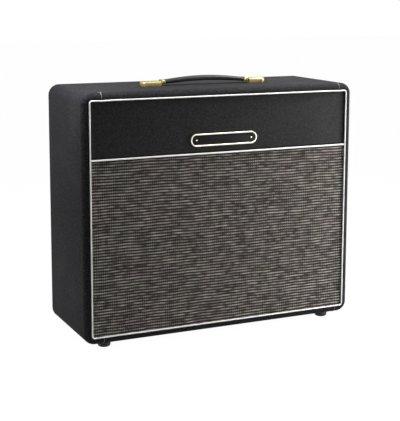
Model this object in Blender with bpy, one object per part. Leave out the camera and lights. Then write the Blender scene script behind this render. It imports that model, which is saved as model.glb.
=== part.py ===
"""A combo guitar amplifier: a vinyl-covered box with a cloth-faced baffle, one 12 inch loudspeaker,
a valve chassis hung under the top board, and a strap handle.

Metres, +Z up. The front faces -Y and the controls face +Y. The origin is on the floor, under the
middle of the box. Left and right are as seen from the front.
"""

import math

import bmesh
import bpy
from mathutils import Matrix

# The box
WIDTH = 0.610
BOX_HEIGHT = 0.506
DEPTH = 0.230
CORNER_RADIUS = 0.023  # of the four long edges that run front to back
EDGE_RADIUS = 0.013  # of the roundover on the front and rear edges, at most the wall
BOARD = 0.012
COVER = 0.001  # vinyl covering
FIT = 0.0003  # gap between pieces that touch
CORNER_STEPS = 6
EDGE_STEPS = 4
BATTEN = 0.018

# The front
PIPING_RADIUS = 0.0018
PIPING_CORNER = 0.0052  # radius of the bead's centreline at the corners
PIPING_PROUD = 0.0014  # how far the white bead stands in front of the box
DIVIDER_RADIUS = 0.0024
DIVIDER_HEIGHT = 0.3734  # of the divider's centre above the box's underside
FRONT_SKIN = 0.0019  # cloth, and the fascia beside it
BAFFLE = 0.013
BAFFLE_CORNER = 0.005
PIPING_SIDES = 8
HOLE_STEPS = 40
BADGE_WIDTH = 0.150
BADGE_HEIGHT = 0.026
BADGE_THICKNESS = 0.0024
BADGE_CHAMFER = 0.0008
BADGE_ABOVE_DIVIDER = 0.028

# Feet
FOOT_HEIGHT = 0.0125
FOOT_RADIUS = 0.0134
FOOT_TOE_RADIUS = 0.0098
FOOT_SCREW_RADIUS = 0.0045
FOOT_SCREW_DEPTH = 0.006
FOOT_FROM_SIDE = 0.050
FOOT_FROM_EDGE = 0.030
FOOT_STEPS = 16

# Strap handle
HANDLE_FORWARD = 0.0125  # of the middle of the box
CAP_LENGTH = 0.0412
CAP_WIDTH = 0.028
CAP_HEIGHT = 0.0094
CAP_EDGE = 0.0022
CAP_SPACING = 0.2044  # between the two caps' mouths
CAP_POCKET = 0.033
CAP_WALL = 0.0022
FERRULE_LENGTH = 0.0075
FERRULE_WIDTH = 0.0235
FERRULE_HEIGHT = 0.0088
FERRULE_RISE = 0.0029  # of its middle above the tongue's
FERRULE_GAP = 0.0034  # from a ferrule to its cap at rest
TONGUE_WIDTH = 0.018
TONGUE_HEIGHT = 0.0026
TONGUE_LENGTH = 0.028
STRAP_WIDTH = 0.0215
STRAP_END_THICKNESS = 0.0082
STRAP_THICKNESS = 0.0106
STRAP_RISE = 0.0087  # of its arched middle above the tongues'
STRAP_STATIONS = 17
STRAP_CORNER = 0.0028
HANDLE_LIFT = 0.022  # how far the strap's middle rises when it is pulled
HANDLE_SLIDE = 0.006  # how far each tongue then slides out of its cap

# Loudspeaker. Depths are measured back from its mounting flange.
SPEAKER_HEIGHT = 0.195  # of its centre above the box's underside
CONE_RADIUS = 0.117
SURROUND_WIDTH = 0.011
LEDGE_WIDTH = 0.013  # that the surround is glued to
FLANGE_WIDTH = 0.0135
FLANGE_THICKNESS = 0.002
LEDGE_DEPTH = 0.007
BASKET_REAR_RADIUS = 0.060
BASKET_DEPTH = 0.070
SPIDER_SEAT = 0.050
SPIDER_RECESS = 0.010  # from the spider's seat back to the back plate
SHEET = 0.0024
SPOKE_HALF_ANGLE = 16.0
WINDOW_START = 0.016
WINDOW_REAR_RIM = 0.007  # of the basket behind a window
CONE_FRONT = 0.005
CONE_TO_SPIDER = 0.008
CONE_WALL = 0.0012
COIL_RADIUS = 0.0227
COIL_WALL = 0.0010
COIL_PROUD = 0.0035  # in front of the cone's neck
COIL_IN_GAP = 0.0093
COIL_CLEARANCE = 0.0010  # to the pole and to the front plate
THROAT_CLEARANCE = 0.003
DUST_CAP_RADIUS = 0.031
DUST_CAP_RISE = 0.012
SPIDER_EDGE = 0.002  # from the spider's rim to the basket
SPIDER_WALL = 0.0012
ROLL = 0.0016  # height of the pleats in the surround and the spider
MAGNET_RADIUS = 0.065
PLATE_RADIUS = 0.052
PLATE_THICKNESS = 0.006
MAGNET_THICKNESS = 0.018
SPEAKER_STEPS = 40
COIL_STEPS = 20
TERMINAL_SIZE = (0.022, 0.009, 0.016)
TERMINAL_DEPTH = 0.046  # of its front end

# Rear
PANEL = 0.012
PANEL_SET_BACK = 0.006
PANEL_CORNER = 0.009
LOWER_PANEL_HEIGHT = 0.114
UPPER_PANEL_HEIGHT = 0.097
UPPER_PANEL_DROP = 0.0024  # from the chassis to the panel's top edge
CUTOUT_WIDTH = 0.214
CUTOUT_HEIGHT = 0.056
CUTOUT_CENTRE_X = -0.135
CUTOUT_RISE = 0.003  # above the middle of the panel
CUTOUT_CORNER = 0.006

# Chassis and its panels
CHASSIS_DEPTH = 0.135
CHASSIS_HEIGHT = 0.060
CHASSIS_SHEET = 0.0016
CONTROL_SET_BACK = 0.022
CONTROL_SIDE_GAP = 0.0057  # from the control panel to the battens
CONTROL_EARS = 0.016  # of the control panel, past each end of the chassis
CONTROL_SHEET = 0.002
CONTROL_CORNER = 0.001
PANEL_HOLE_STEPS = 12
HOLE_REACH = 0.016  # of a cutter, each way from the panel
CONNECTOR_LAP = 0.005  # of the connector panel, past the cut-out's edges
CONNECTOR_FLANGE = 0.030

# Controls. The row runs from the first input at the right to the power switch, which is
# CONTROL_SPACES away, and each control's place is counted in those spaces.
CONTROL_MARGIN = 0.040  # from the panel's end to the first and the last control
CONTROL_SPACES = 16
INPUT_JACK_PLACES = (0, 1, 5, 6)
KNOB_PLACES = (2.4, 3.8, 7.4, 8.8, 10.2, 11.6)
LAMP_PLACE = 13.1
TOGGLE_PLACES = (14.5, 16)
KNOB_NAMES = (
    "normal_volume_knob",
    "normal_tone_knob",
    "tremolo_volume_knob",
    "tremolo_tone_knob",
    "tremolo_speed_knob",
    "tremolo_depth_knob",
)
KNOB_RADIUS = 0.0120
KNOB_TOP_RADIUS = 0.0088
KNOB_HEIGHT = 0.0145
KNOB_LIFT = 0.0006  # above the panel
KNOB_STEPS = 16
KNOB_SLOT = 0.0012
SHAFT_RADIUS = 0.0030
SHAFT_LENGTH = 0.010
SHAFT_CLEARANCE = 0.0005
JACK_BORE = 0.00325
JACK_NECK = 0.0048
JACK_NUT = 0.0072
JACK_NUT_HEIGHT = 0.0030
JACK_NOSE = 0.0042
JACK_BODY = 0.0088
JACK_BODY_LENGTH = 0.020
JACK_STEPS = 12
LAMP_RADIUS = 0.0058
LAMP_FLANGE = 0.0082
LAMP_COLLAR = 0.0016
LAMP_RISE = 0.0075
LAMP_BODY_LENGTH = 0.0156
TOGGLE_NAMES = ("standby_toggle", "power_toggle")
TOGGLE_TILT = 12.0
TOGGLE_LENGTH = 0.0155
TOGGLE_TIP = 0.0030
TOGGLE_NECK = 0.0016
BUSHING_RADIUS = 0.0060
BUSHING_BORE = 0.0043
BUSHING_HEIGHT = 0.0050
TOGGLE_PIVOT = 0.0010  # above the panel

# Connections, each placed by its distance from the middle of the cut-out
INLET_OFFSET = -0.080
FUSE_OFFSETS = (-0.043, -0.017)
SELECTOR_OFFSET = 0.021
SPEAKER_JACK_OFFSETS = (0.057, 0.085)
INLET_FLANGE = (0.031, 0.0245)
INLET_BODY = (0.0275, 0.0195)
INLET_RECESS = (0.0240, 0.0160)
INLET_LIP = 0.0022
INLET_DEPTH = 0.021
INLET_RECESS_DEPTH = 0.0160
INLET_PIN = (0.0020, 0.0040)
INLET_PIN_LENGTH = 0.0105
INLET_PIN_SPACING = 0.0140
INLET_EARTH_RISE = 0.0040
INLET_LINE_DROP = 0.0010
INLET_CORNER = 0.0030
FUSE_NAMES = ("mains_fuse_cap", "ht_fuse_cap")
FUSE_RADIUS = 0.0075
FUSE_HEIGHT = 0.0100
FUSE_NECK = 0.0058
FUSE_NECK_LENGTH = 0.026
SELECTOR_RADIUS = 0.0115
SELECTOR_HEIGHT = 0.0080
SLOT_DEPTH = 0.0020

# What hangs under the chassis
VALVE_Y = 0.005
VALVE_STEPS = 12
VALVE_RADIUS = 0.0110
SMALL_VALVE_LENGTH = 0.049
LARGE_VALVE_LENGTH = 0.072
SOCKET_RADIUS = 0.0125
SOCKET_HEIGHT = 0.007
VALVES = (
    ("rectifier_valve", LARGE_VALVE_LENGTH),
    ("power_valve_1", LARGE_VALVE_LENGTH),
    ("power_valve_2", LARGE_VALVE_LENGTH),
    ("preamp_valve_1", SMALL_VALVE_LENGTH),
    ("preamp_valve_2", SMALL_VALVE_LENGTH),
    ("preamp_valve_3", SMALL_VALVE_LENGTH),
)
TRANSFORMER_FROM_END = 0.010
TRANSFORMER_GAP = 0.012
MAINS_TRANSFORMER_SIZE = (0.092, 0.078, 0.070)
OUTPUT_TRANSFORMER_SIZE = (0.068, 0.060, 0.056)
CORE_SHARE = 0.42  # of a transformer's length that is bare laminations
BELL_INSET = 0.005
BELL_ROUND = 0.010
CAPACITOR_FROM_END = 0.036
CAPACITOR_RADIUS = 0.0175
CAPACITOR_LENGTH = 0.062
CAPACITOR_LIP = 0.0012

# Places worked out from the sizes above
Y_FRONT = -DEPTH / 2 + PIPING_PROUD / 2
Y_REAR = DEPTH / 2 + PIPING_PROUD / 2
Z_TOP = FOOT_HEIGHT + BOX_HEIGHT
WALL = COVER + FIT + BOARD
EDGE = min(EDGE_RADIUS, WALL - FIT)
PIPING_INSET = WALL + FIT + PIPING_RADIUS
Z_DIVIDER = FOOT_HEIGHT + DIVIDER_HEIGHT
Y_PIPING = Y_FRONT - PIPING_PROUD + PIPING_RADIUS
Y_BAFFLE = Y_PIPING + PIPING_RADIUS + FIT + FRONT_SKIN + FIT
Y_SPEAKER = Y_BAFFLE + BAFFLE + FIT
Z_SPEAKER = FOOT_HEIGHT + SPEAKER_HEIGHT
Y_PANEL = Y_REAR - PANEL_SET_BACK - PANEL
Z_FLOOR = FOOT_HEIGHT + WALL + FIT  # top of the bottom board, with its gap
Z_CEILING = Z_TOP - WALL - FIT
Z_CHASSIS = Z_CEILING - CHASSIS_HEIGHT
Y_CONTROL = Y_REAR - CONTROL_SET_BACK
Y_CHASSIS = Y_CONTROL - CONTROL_SHEET - FIT  # the chassis's rear face
Z_CONTROL = Z_CEILING - CHASSIS_HEIGHT / 2
CONTROL_WIDTH = WIDTH - 2 * (WALL + BATTEN + CONTROL_SIDE_GAP)
CHASSIS_WIDTH = CONTROL_WIDTH - 2 * CONTROL_EARS
FIRST_CONTROL_X = CONTROL_WIDTH / 2 - CONTROL_MARGIN
CONTROL_SPACE = 2 * FIRST_CONTROL_X / CONTROL_SPACES
MAINS_TRANSFORMER_X = TRANSFORMER_FROM_END + (MAINS_TRANSFORMER_SIZE[0] - CHASSIS_WIDTH) / 2
OUTPUT_TRANSFORMER_X = (
    MAINS_TRANSFORMER_X
    + (MAINS_TRANSFORMER_SIZE[0] + OUTPUT_TRANSFORMER_SIZE[0]) / 2
    + TRANSFORMER_GAP
)
CAPACITOR_X = CHASSIS_WIDTH / 2 - CAPACITOR_FROM_END
VALVES_START = OUTPUT_TRANSFORMER_X + OUTPUT_TRANSFORMER_SIZE[0] / 2
VALVE_PITCH = (CAPACITOR_X - CAPACITOR_RADIUS - VALVES_START) / len(VALVES)
Z_UPPER_PANEL = Z_CHASSIS - UPPER_PANEL_DROP - UPPER_PANEL_HEIGHT / 2
Z_CUTOUT = Z_UPPER_PANEL + CUTOUT_RISE
LEDGE_RADIUS = CONE_RADIUS + SURROUND_WIDTH
FLANGE_STEP_RADIUS = LEDGE_RADIUS + LEDGE_WIDTH
FLANGE_RADIUS = FLANGE_STEP_RADIUS + FLANGE_WIDTH
SPIDER_RADIUS = BASKET_REAR_RADIUS - SPIDER_EDGE
BACK_PLATE_DEPTH = BASKET_DEPTH + SPIDER_RECESS
MAGNET_PLATE_DEPTH = BACK_PLATE_DEPTH + SHEET + FIT
WINDOW_END = BASKET_DEPTH - WINDOW_REAR_RIM
CONE_NECK_DEPTH = BASKET_DEPTH - CONE_TO_SPIDER
COIL_FRONT = CONE_NECK_DEPTH - COIL_PROUD
COIL_REAR = MAGNET_PLATE_DEPTH + COIL_IN_GAP
POLE_RADIUS = COIL_RADIUS - COIL_WALL - COIL_CLEARANCE
MAGNET_GAP_RADIUS = COIL_RADIUS + COIL_CLEARANCE
THROAT_RADIUS = MAGNET_GAP_RADIUS + THROAT_CLEARANCE
BACK_HALF_WIDTH = WIDTH / 2 - WALL - COVER - 2 * FIT
FERRULE_X = CAP_SPACING / 2 - FERRULE_GAP  # a ferrule's outer end
STRAP_HALF = FERRULE_X - FERRULE_LENGTH - FIT
Y_HANDLE = -HANDLE_FORWARD
Z_TONGUE = Z_TOP + FIT + CAP_HEIGHT / 2
LEAN = HANDLE_SLIDE / HANDLE_LIFT  # slope of the faces where strap and ferrule slide past
MOUTH_CORNER = PIPING_CORNER + PIPING_RADIUS + 2 * FIT  # of the front opening, round the bead
CORNER_TIGHTENING = (CORNER_RADIUS - MOUTH_CORNER) / WALL  # corner radius lost per metre of inset
QUARTER = math.pi / 2


def control_x(place):
    """Where a place in the row of controls is, counted from the right end."""
    return FIRST_CONTROL_X - place * CONTROL_SPACE


def valve_x(index):
    return VALVES_START + (index + 0.5) * VALVE_PITCH


def connection_x(offset):
    return CUTOUT_CENTRE_X + offset


INPUT_JACK_X = [control_x(place) for place in INPUT_JACK_PLACES]
KNOB_X = [control_x(place) for place in KNOB_PLACES]
LAMP_X = control_x(LAMP_PLACE)
TOGGLE_X = [control_x(place) for place in TOGGLE_PLACES]
VALVE_X = [valve_x(index) for index in range(len(VALVES))]
INLET_X = connection_x(INLET_OFFSET)
FUSE_X = [connection_x(offset) for offset in FUSE_OFFSETS]
SELECTOR_X = connection_x(SELECTOR_OFFSET)
SPEAKER_JACK_X = [connection_x(offset) for offset in SPEAKER_JACK_OFFSETS]


def material(name, colour, roughness, metallic=0.0):
    made = bpy.data.materials.new(name)
    made.use_nodes = True
    shader = made.node_tree.nodes["Principled BSDF"]
    shader.inputs["Base Color"].default_value = (*colour, 1.0)
    shader.inputs["Roughness"].default_value = roughness
    shader.inputs["Metallic"].default_value = metallic
    return made


def add_object(name, shape, finish=None, location=(0, 0, 0), rotation=(0, 0, 0), parent=None):
    """Makes an object of a bmesh, smooth where its faces meet at shallow angles."""
    bmesh.ops.recalc_face_normals(shape, faces=shape.faces)
    mesh = bpy.data.meshes.new(name)
    shape.to_mesh(mesh)
    shape.free()
    mesh.shade_smooth()
    mesh.set_sharp_from_angle(angle=math.radians(35))
    if finish:
        mesh.materials.append(finish)
    made = bpy.data.objects.new(name, mesh)
    bpy.context.scene.collection.objects.link(made)
    made.location = location
    made.rotation_euler = rotation
    made.parent = parent
    return made


def add_empty(name, location, rotation=(0, 0, 0)):
    made = bpy.data.objects.new(name, None)
    bpy.context.scene.collection.objects.link(made)
    made.location = location
    made.rotation_euler = rotation
    return made


def change(target, tool, operation):
    """Cuts, joins or trims target with a helper object, which stays hidden."""
    tool.hide_render = True
    tool.display_type = "WIRE"
    step = target.modifiers.new(tool.name, "BOOLEAN")
    step.operation = operation
    step.solver = "EXACT"
    step.object = tool


def loft(rings, closed=False):
    """A solid through rings of equal count, capped at both ends or joined end to start."""
    shape = bmesh.new()
    rows = [[shape.verts.new(point) for point in ring] for ring in rings]
    pairs = list(zip(rows, rows[1:]))
    if closed:
        pairs.append((rows[-1], rows[0]))
    for one, other in pairs:
        for i in range(len(one)):
            j = (i + 1) % len(one)
            shape.faces.new((one[i], one[j], other[j], other[i]))
    if not closed:
        shape.faces.new(rows[0][::-1])
        shape.faces.new(rows[-1])
    return shape


def block(low, high):
    rings = [
        [(low[0], low[1], z), (high[0], low[1], z), (high[0], high[1], z), (low[0], high[1], z)]
        for z in (low[2], high[2])
    ]
    return loft(rings)


def turned(profile, steps, ring=False):
    """Turns (radius, height) points about Z: a solid with flat ends, or a closed ring."""
    angles = [2 * math.pi * i / steps for i in range(steps)]
    return loft([[(r * math.cos(a), r * math.sin(a), h) for a in angles] for r, h in profile], ring)


def rounded_rectangle(half_width, half_height, radius, steps):
    """Points (u, v) round a rectangle with round corners, anticlockwise."""
    corners = ((1, 1, 0), (-1, 1, 1), (-1, -1, 2), (1, -1, 3))
    points = []
    for su, sv, quarter in corners:
        for i in range(steps + 1):
            angle = (quarter + i / steps) * QUARTER
            u = su * (half_width - radius) + radius * math.cos(angle)
            v = sv * (half_height - radius) + radius * math.sin(angle)
            points.append((u, v))
    return points


def plate(half_width, half_height, radius, y_low, y_high, steps=3):
    """An upright plate with round corners, centred on x = 0, z = 0."""
    outline = rounded_rectangle(half_width, half_height, radius, steps)
    return loft([[(u, y, v) for u, v in outline] for y in (y_low, y_high)])


def moved(shape, x=0.0, y=0.0, z=0.0):
    bmesh.ops.translate(shape, verts=shape.verts, vec=(x, y, z))
    return shape


def rotated(shape, degrees, axis):
    turn = Matrix.Rotation(math.radians(degrees), 3, axis)
    bmesh.ops.rotate(shape, verts=shape.verts, cent=(0, 0, 0), matrix=turn)
    return shape


def together(shapes):
    """One bmesh of several that don't touch."""
    whole = bmesh.new()
    for shape in shapes:
        mesh = bpy.data.meshes.new("loose")
        shape.to_mesh(mesh)
        shape.free()
        whole.from_mesh(mesh)
        bpy.data.meshes.remove(mesh)
    return whole


def box_outline(inset, y):
    """The box's rounded section at a depth, this far inside its outer surface."""
    radius = max(CORNER_RADIUS - inset * CORNER_TIGHTENING, BOARD / 4)
    points = rounded_rectangle(WIDTH / 2 - inset, BOX_HEIGHT / 2 - inset, radius, CORNER_STEPS)
    return [(u, y, v + FOOT_HEIGHT + BOX_HEIGHT / 2) for u, v in points]


def roundover(inset, at_rear):
    """(inset, y) points of the rounded edge, this far inside the covering, from face to side."""
    points = []
    for i in range(EDGE_STEPS + 1):
        angle = QUARTER * i / EDGE_STEPS
        across = EDGE - (EDGE - inset) * math.sin(angle)
        back = EDGE - (EDGE - inset) * math.cos(angle)
        points.append((across, Y_REAR - back if at_rear else Y_FRONT + back))
    return points


def box_form(inset):
    """The whole box as a solid block, this far inside the covering."""
    profile = roundover(inset, False) + roundover(inset, True)[::-1]
    return loft([box_outline(across, y) for across, y in profile])


def make_boards(finish):
    """Four boards butted at the corners. The side boards carry their glued battens."""
    inner_half = WIDTH / 2 - WALL
    far = WIDTH
    form = add_object("box_form", box_form(COVER + FIT))
    reach = inner_half - FIT
    slabs = {
        "top_board": ((-reach, -far, Z_TOP - WALL), (reach, far, Z_TOP + far)),
        "bottom_board": ((-reach, -far, -far), (reach, far, FOOT_HEIGHT + WALL)),
        "left_board": ((-far, -far, -far), (-inner_half, far, far + Z_TOP)),
        "right_board": ((inner_half, -far, -far), (far, far, far + Z_TOP)),
    }
    for name, (low, high) in slabs.items():
        board = add_object(name, block(low, high), finish)
        change(board, form, "INTERSECT")
        if "left" in name or "right" in name:
            side = -1 if "left" in name else 1
            change(board, make_battens(name, side, inner_half), "UNION")


def make_battens(name, side, inner_half):
    """The strips that the baffle and the back panels are screwed to, sunk a little in the board."""
    sunk = BOARD / 4
    ends = sorted((side * (inner_half - BATTEN), side * (inner_half + sunk)))
    strips = []
    for y in (Y_SPEAKER, Y_PANEL - FIT - BATTEN):
        strips.append(block((ends[0], y, Z_FLOOR), (ends[1], y + BATTEN, Z_CEILING)))
    return add_object(name + "_battens", together(strips))


def make_covering(finish):
    """Vinyl over the outside, round both edges, and turned in at the rear up to the battens."""
    turned_in = WALL + FIT
    lip_end = Y_PANEL
    outer = [(WALL, Y_FRONT)] + roundover(0, False) + roundover(0, True)[::-1]
    outer += [(turned_in + COVER, Y_REAR), (turned_in + COVER, lip_end)]
    inner = [(WALL, Y_FRONT + COVER)] + roundover(COVER, False) + roundover(COVER, True)[::-1]
    inner += [(turned_in, Y_REAR - COVER), (turned_in, lip_end)]
    profile = outer + inner[::-1]
    add_object("vinyl_covering", loft([box_outline(i, y) for i, y in profile], True), finish)


def make_front(vinyl, cloth, wood, white, gold):
    half_width = WIDTH / 2 - WALL - FIT
    bottom = FOOT_HEIGHT + WALL + FIT
    top = Z_TOP - WALL - FIT
    middle = (top + bottom) / 2
    baffle_shape = plate(half_width, (top - bottom) / 2, BAFFLE_CORNER, 0, BAFFLE)
    baffle = add_object("baffle_board", baffle_shape, wood, (0, Y_BAFFLE, middle))
    hole = turned([(FLANGE_STEP_RADIUS, -BAFFLE), (FLANGE_STEP_RADIUS, 2 * BAFFLE)], HOLE_STEPS)
    place = (0, Y_BAFFLE, Z_SPEAKER)
    change(baffle, add_object("baffle_hole", hole, None, place, (-QUARTER, 0, 0)), "DIFFERENCE")
    lower_top = Z_DIVIDER - DIVIDER_RADIUS - FIT
    upper_bottom = Z_DIVIDER + DIVIDER_RADIUS + FIT
    panels = (
        ("grille_cloth", cloth, bottom, lower_top),
        ("fascia_panel", vinyl, upper_bottom, top),
    )
    for name, finish, low, high in panels:
        shape = face_panel(half_width, (high - low) / 2, FRONT_SKIN, low == bottom)
        add_object(name, shape, finish, (0, Y_BAFFLE - FIT, (low + high) / 2))
    make_piping(white)
    badge_z = Z_DIVIDER + BADGE_ABOVE_DIVIDER
    badge_y = Y_BAFFLE - FIT - FRONT_SKIN - FIT
    half, rise = BADGE_WIDTH / 2, BADGE_HEIGHT / 2
    steps = ((0, 0), (0, BADGE_THICKNESS - BADGE_CHAMFER), (BADGE_CHAMFER, BADGE_THICKNESS))
    rings = []
    for inset, out in steps:
        outline = rounded_rectangle(half - inset, rise - inset, rise - inset, CORNER_STEPS)
        rings.append([(u, -out, v) for u, v in outline])
    add_object("badge_plate", loft(rings), gold, (0, badge_y, badge_z))


def face_panel(half_width, half_height, thickness, round_at_bottom):
    """A thin panel, its back on y = 0, whose two outer corners are round and two are square."""
    outline = []
    for u, v in rounded_rectangle(half_width, half_height, BAFFLE_CORNER, CORNER_STEPS):
        round_here = (v < 0) == round_at_bottom
        square = (math.copysign(half_width, u), math.copysign(half_height, v))
        point = (u, v) if round_here else square
        if point not in outline:
            outline.append(point)
    return loft([[(u, y, v) for u, v in outline] for y in (-thickness, 0)])


def make_piping(white):
    """The white bead round the front and the straight one under the fascia."""
    rings = []
    for i in range(PIPING_SIDES):
        angle = 2 * math.pi * (i + 0.5) / PIPING_SIDES
        stretch = PIPING_RADIUS / math.cos(math.pi / PIPING_SIDES)
        rings.append(piping_outline(stretch * math.sin(angle), stretch * math.cos(angle)))
    add_object("piping_frame", loft(rings, True), white)
    reach = WIDTH / 2 - PIPING_INSET - PIPING_RADIUS - FIT
    bead = turned([(DIVIDER_RADIUS, -reach), (DIVIDER_RADIUS, reach)], PIPING_SIDES)
    divider_y = Y_BAFFLE - FIT - DIVIDER_RADIUS
    add_object("piping_divider", bead, white, (0, divider_y, Z_DIVIDER), (0, QUARTER, 0))


def piping_outline(inwards, back):
    """The bead's path, moved this far inwards and back from its centreline."""
    half_width = WIDTH / 2 - PIPING_INSET - inwards
    half_height = BOX_HEIGHT / 2 - PIPING_INSET - inwards
    outline = rounded_rectangle(half_width, half_height, PIPING_CORNER - inwards, CORNER_STEPS)
    return [(u, Y_PIPING + back, v + FOOT_HEIGHT + BOX_HEIGHT / 2) for u, v in outline]


def make_feet(rubber):
    toe = FOOT_TOE_RADIUS
    profile = (
        (FOOT_SCREW_RADIUS, FOOT_SCREW_DEPTH),
        (FOOT_SCREW_RADIUS, 0),
        (toe, 0),
        (toe + 0.7 * (FOOT_RADIUS - toe), 0.15 * FOOT_HEIGHT),
        (FOOT_RADIUS, 0.45 * FOOT_HEIGHT),
        (FOOT_RADIUS, FOOT_HEIGHT - FIT),
    )
    for side, x in (("left", -1), ("right", 1)):
        for end, y in (("front", Y_FRONT + FOOT_FROM_EDGE), ("rear", Y_REAR - FOOT_FROM_EDGE)):
            place = (x * (WIDTH / 2 - FOOT_FROM_SIDE), y, 0)
            add_object(f"foot_{end}_{side}", turned(profile, FOOT_STEPS), rubber, place)


def bar_section(side, x, width, height, z, corner, lean):
    """A rounded section across a bar that runs along X, leaning outwards as it rises."""
    outline = rounded_rectangle(width / 2, height / 2, corner, 2)
    return [(side * (x + lean * (v + z)), u, v + z) for u, v in outline]


def make_handle(gold, strap_finish):
    """Two caps, a sprung strap between two ferrules, and the tongues that slide in the caps."""
    thickness = CAP_HEIGHT - CAP_EDGE
    mouth = CAP_SPACING / 2
    for side, name in ((-1, "left"), (1, "right")):
        softened = 0.3 * CAP_EDGE
        steps = ((0, 0), (0, thickness), (softened, CAP_HEIGHT - softened), (CAP_EDGE, CAP_HEIGHT))
        rings = [cap_outline(inset, z, side) for inset, z in steps]
        place = (side * mouth, Y_HANDLE, Z_TOP + FIT)
        cap = add_object(f"handle_cap_{name}", loft(rings), gold, place)
        low_x, high_x = sorted((-side * CAP_WALL, side * CAP_POCKET))
        half = TONGUE_WIDTH / 2 + CAP_WALL / 2
        rise = TONGUE_HEIGHT / 2 + CAP_WALL / 4
        middle = CAP_HEIGHT / 2
        pocket = block((low_x, -half, middle - rise), (high_x, half, middle + rise))
        tool = add_object(f"cap_pocket_{name}", pocket, None, place)
        change(cap, tool, "DIFFERENCE")
        tongue_end = FERRULE_X + TONGUE_LENGTH
        sizes = (
            (FERRULE_X - FERRULE_LENGTH, FERRULE_WIDTH, FERRULE_HEIGHT, FERRULE_RISE, LEAN),
            (FERRULE_X, FERRULE_WIDTH, FERRULE_HEIGHT, FERRULE_RISE, 0),
            (FERRULE_X, TONGUE_WIDTH, TONGUE_HEIGHT, 0, 0),
            (tongue_end, TONGUE_WIDTH, TONGUE_HEIGHT, 0, 0),
        )
        rings = [bar_section(side, x, w, h, z, h / 4, lean) for x, w, h, z, lean in sizes]
        add_object(f"handle_ferrule_{name}", loft(rings), gold, (0, Y_HANDLE, Z_TONGUE))
    rings = []
    for i in range(STRAP_STATIONS):
        share = 2 * i / (STRAP_STATIONS - 1) - 1
        side = math.copysign(1, share)
        arch = math.cos(share * QUARTER)
        depth = STRAP_END_THICKNESS + (STRAP_THICKNESS - STRAP_END_THICKNESS) * arch
        z = FERRULE_RISE + (STRAP_RISE - FERRULE_RISE) * arch
        x = abs(share) * STRAP_HALF
        rings.append(bar_section(side, x, STRAP_WIDTH, depth, z, STRAP_CORNER, LEAN * abs(share)))
    add_object("handle_strap", loft(rings), strap_finish, (0, Y_HANDLE, Z_TONGUE))


def cap_outline(inset, z, side):
    """A cap's plan: square at its mouth and round at its outer end."""
    half = CAP_WIDTH / 2 - inset
    end_radius = CAP_WIDTH / 2.4
    centre = CAP_LENGTH - end_radius
    points = [(side * inset, -half, z)]
    for i in range(CORNER_STEPS + 1):
        angle = -QUARTER + i * 2 * QUARTER / CORNER_STEPS
        reach = end_radius - inset
        points.append((side * (centre + reach * math.cos(angle)), half * math.sin(angle), z))
    points.append((side * inset, half, z))
    return points


def sheet_ring(centreline, wall):
    """A closed profile for a turned sheet: a centreline of (radius, depth) given a wall."""
    front = [(r, d - wall / 2) for r, d in centreline]
    back = [(r, d + wall / 2) for r, d in centreline]
    return front + back[::-1]


def pleats(inner, outer, depth, count):
    """A wavy line of (radius, depth) between two radii, flat at both ends."""
    points = [(inner, depth)]
    for i in range(1, 2 * count):
        share = i / (2 * count)
        wave = ROLL if i % 2 else -ROLL
        points.append((inner + share * (outer - inner), depth + wave))
    points.append((outer, depth))
    return points


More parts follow.
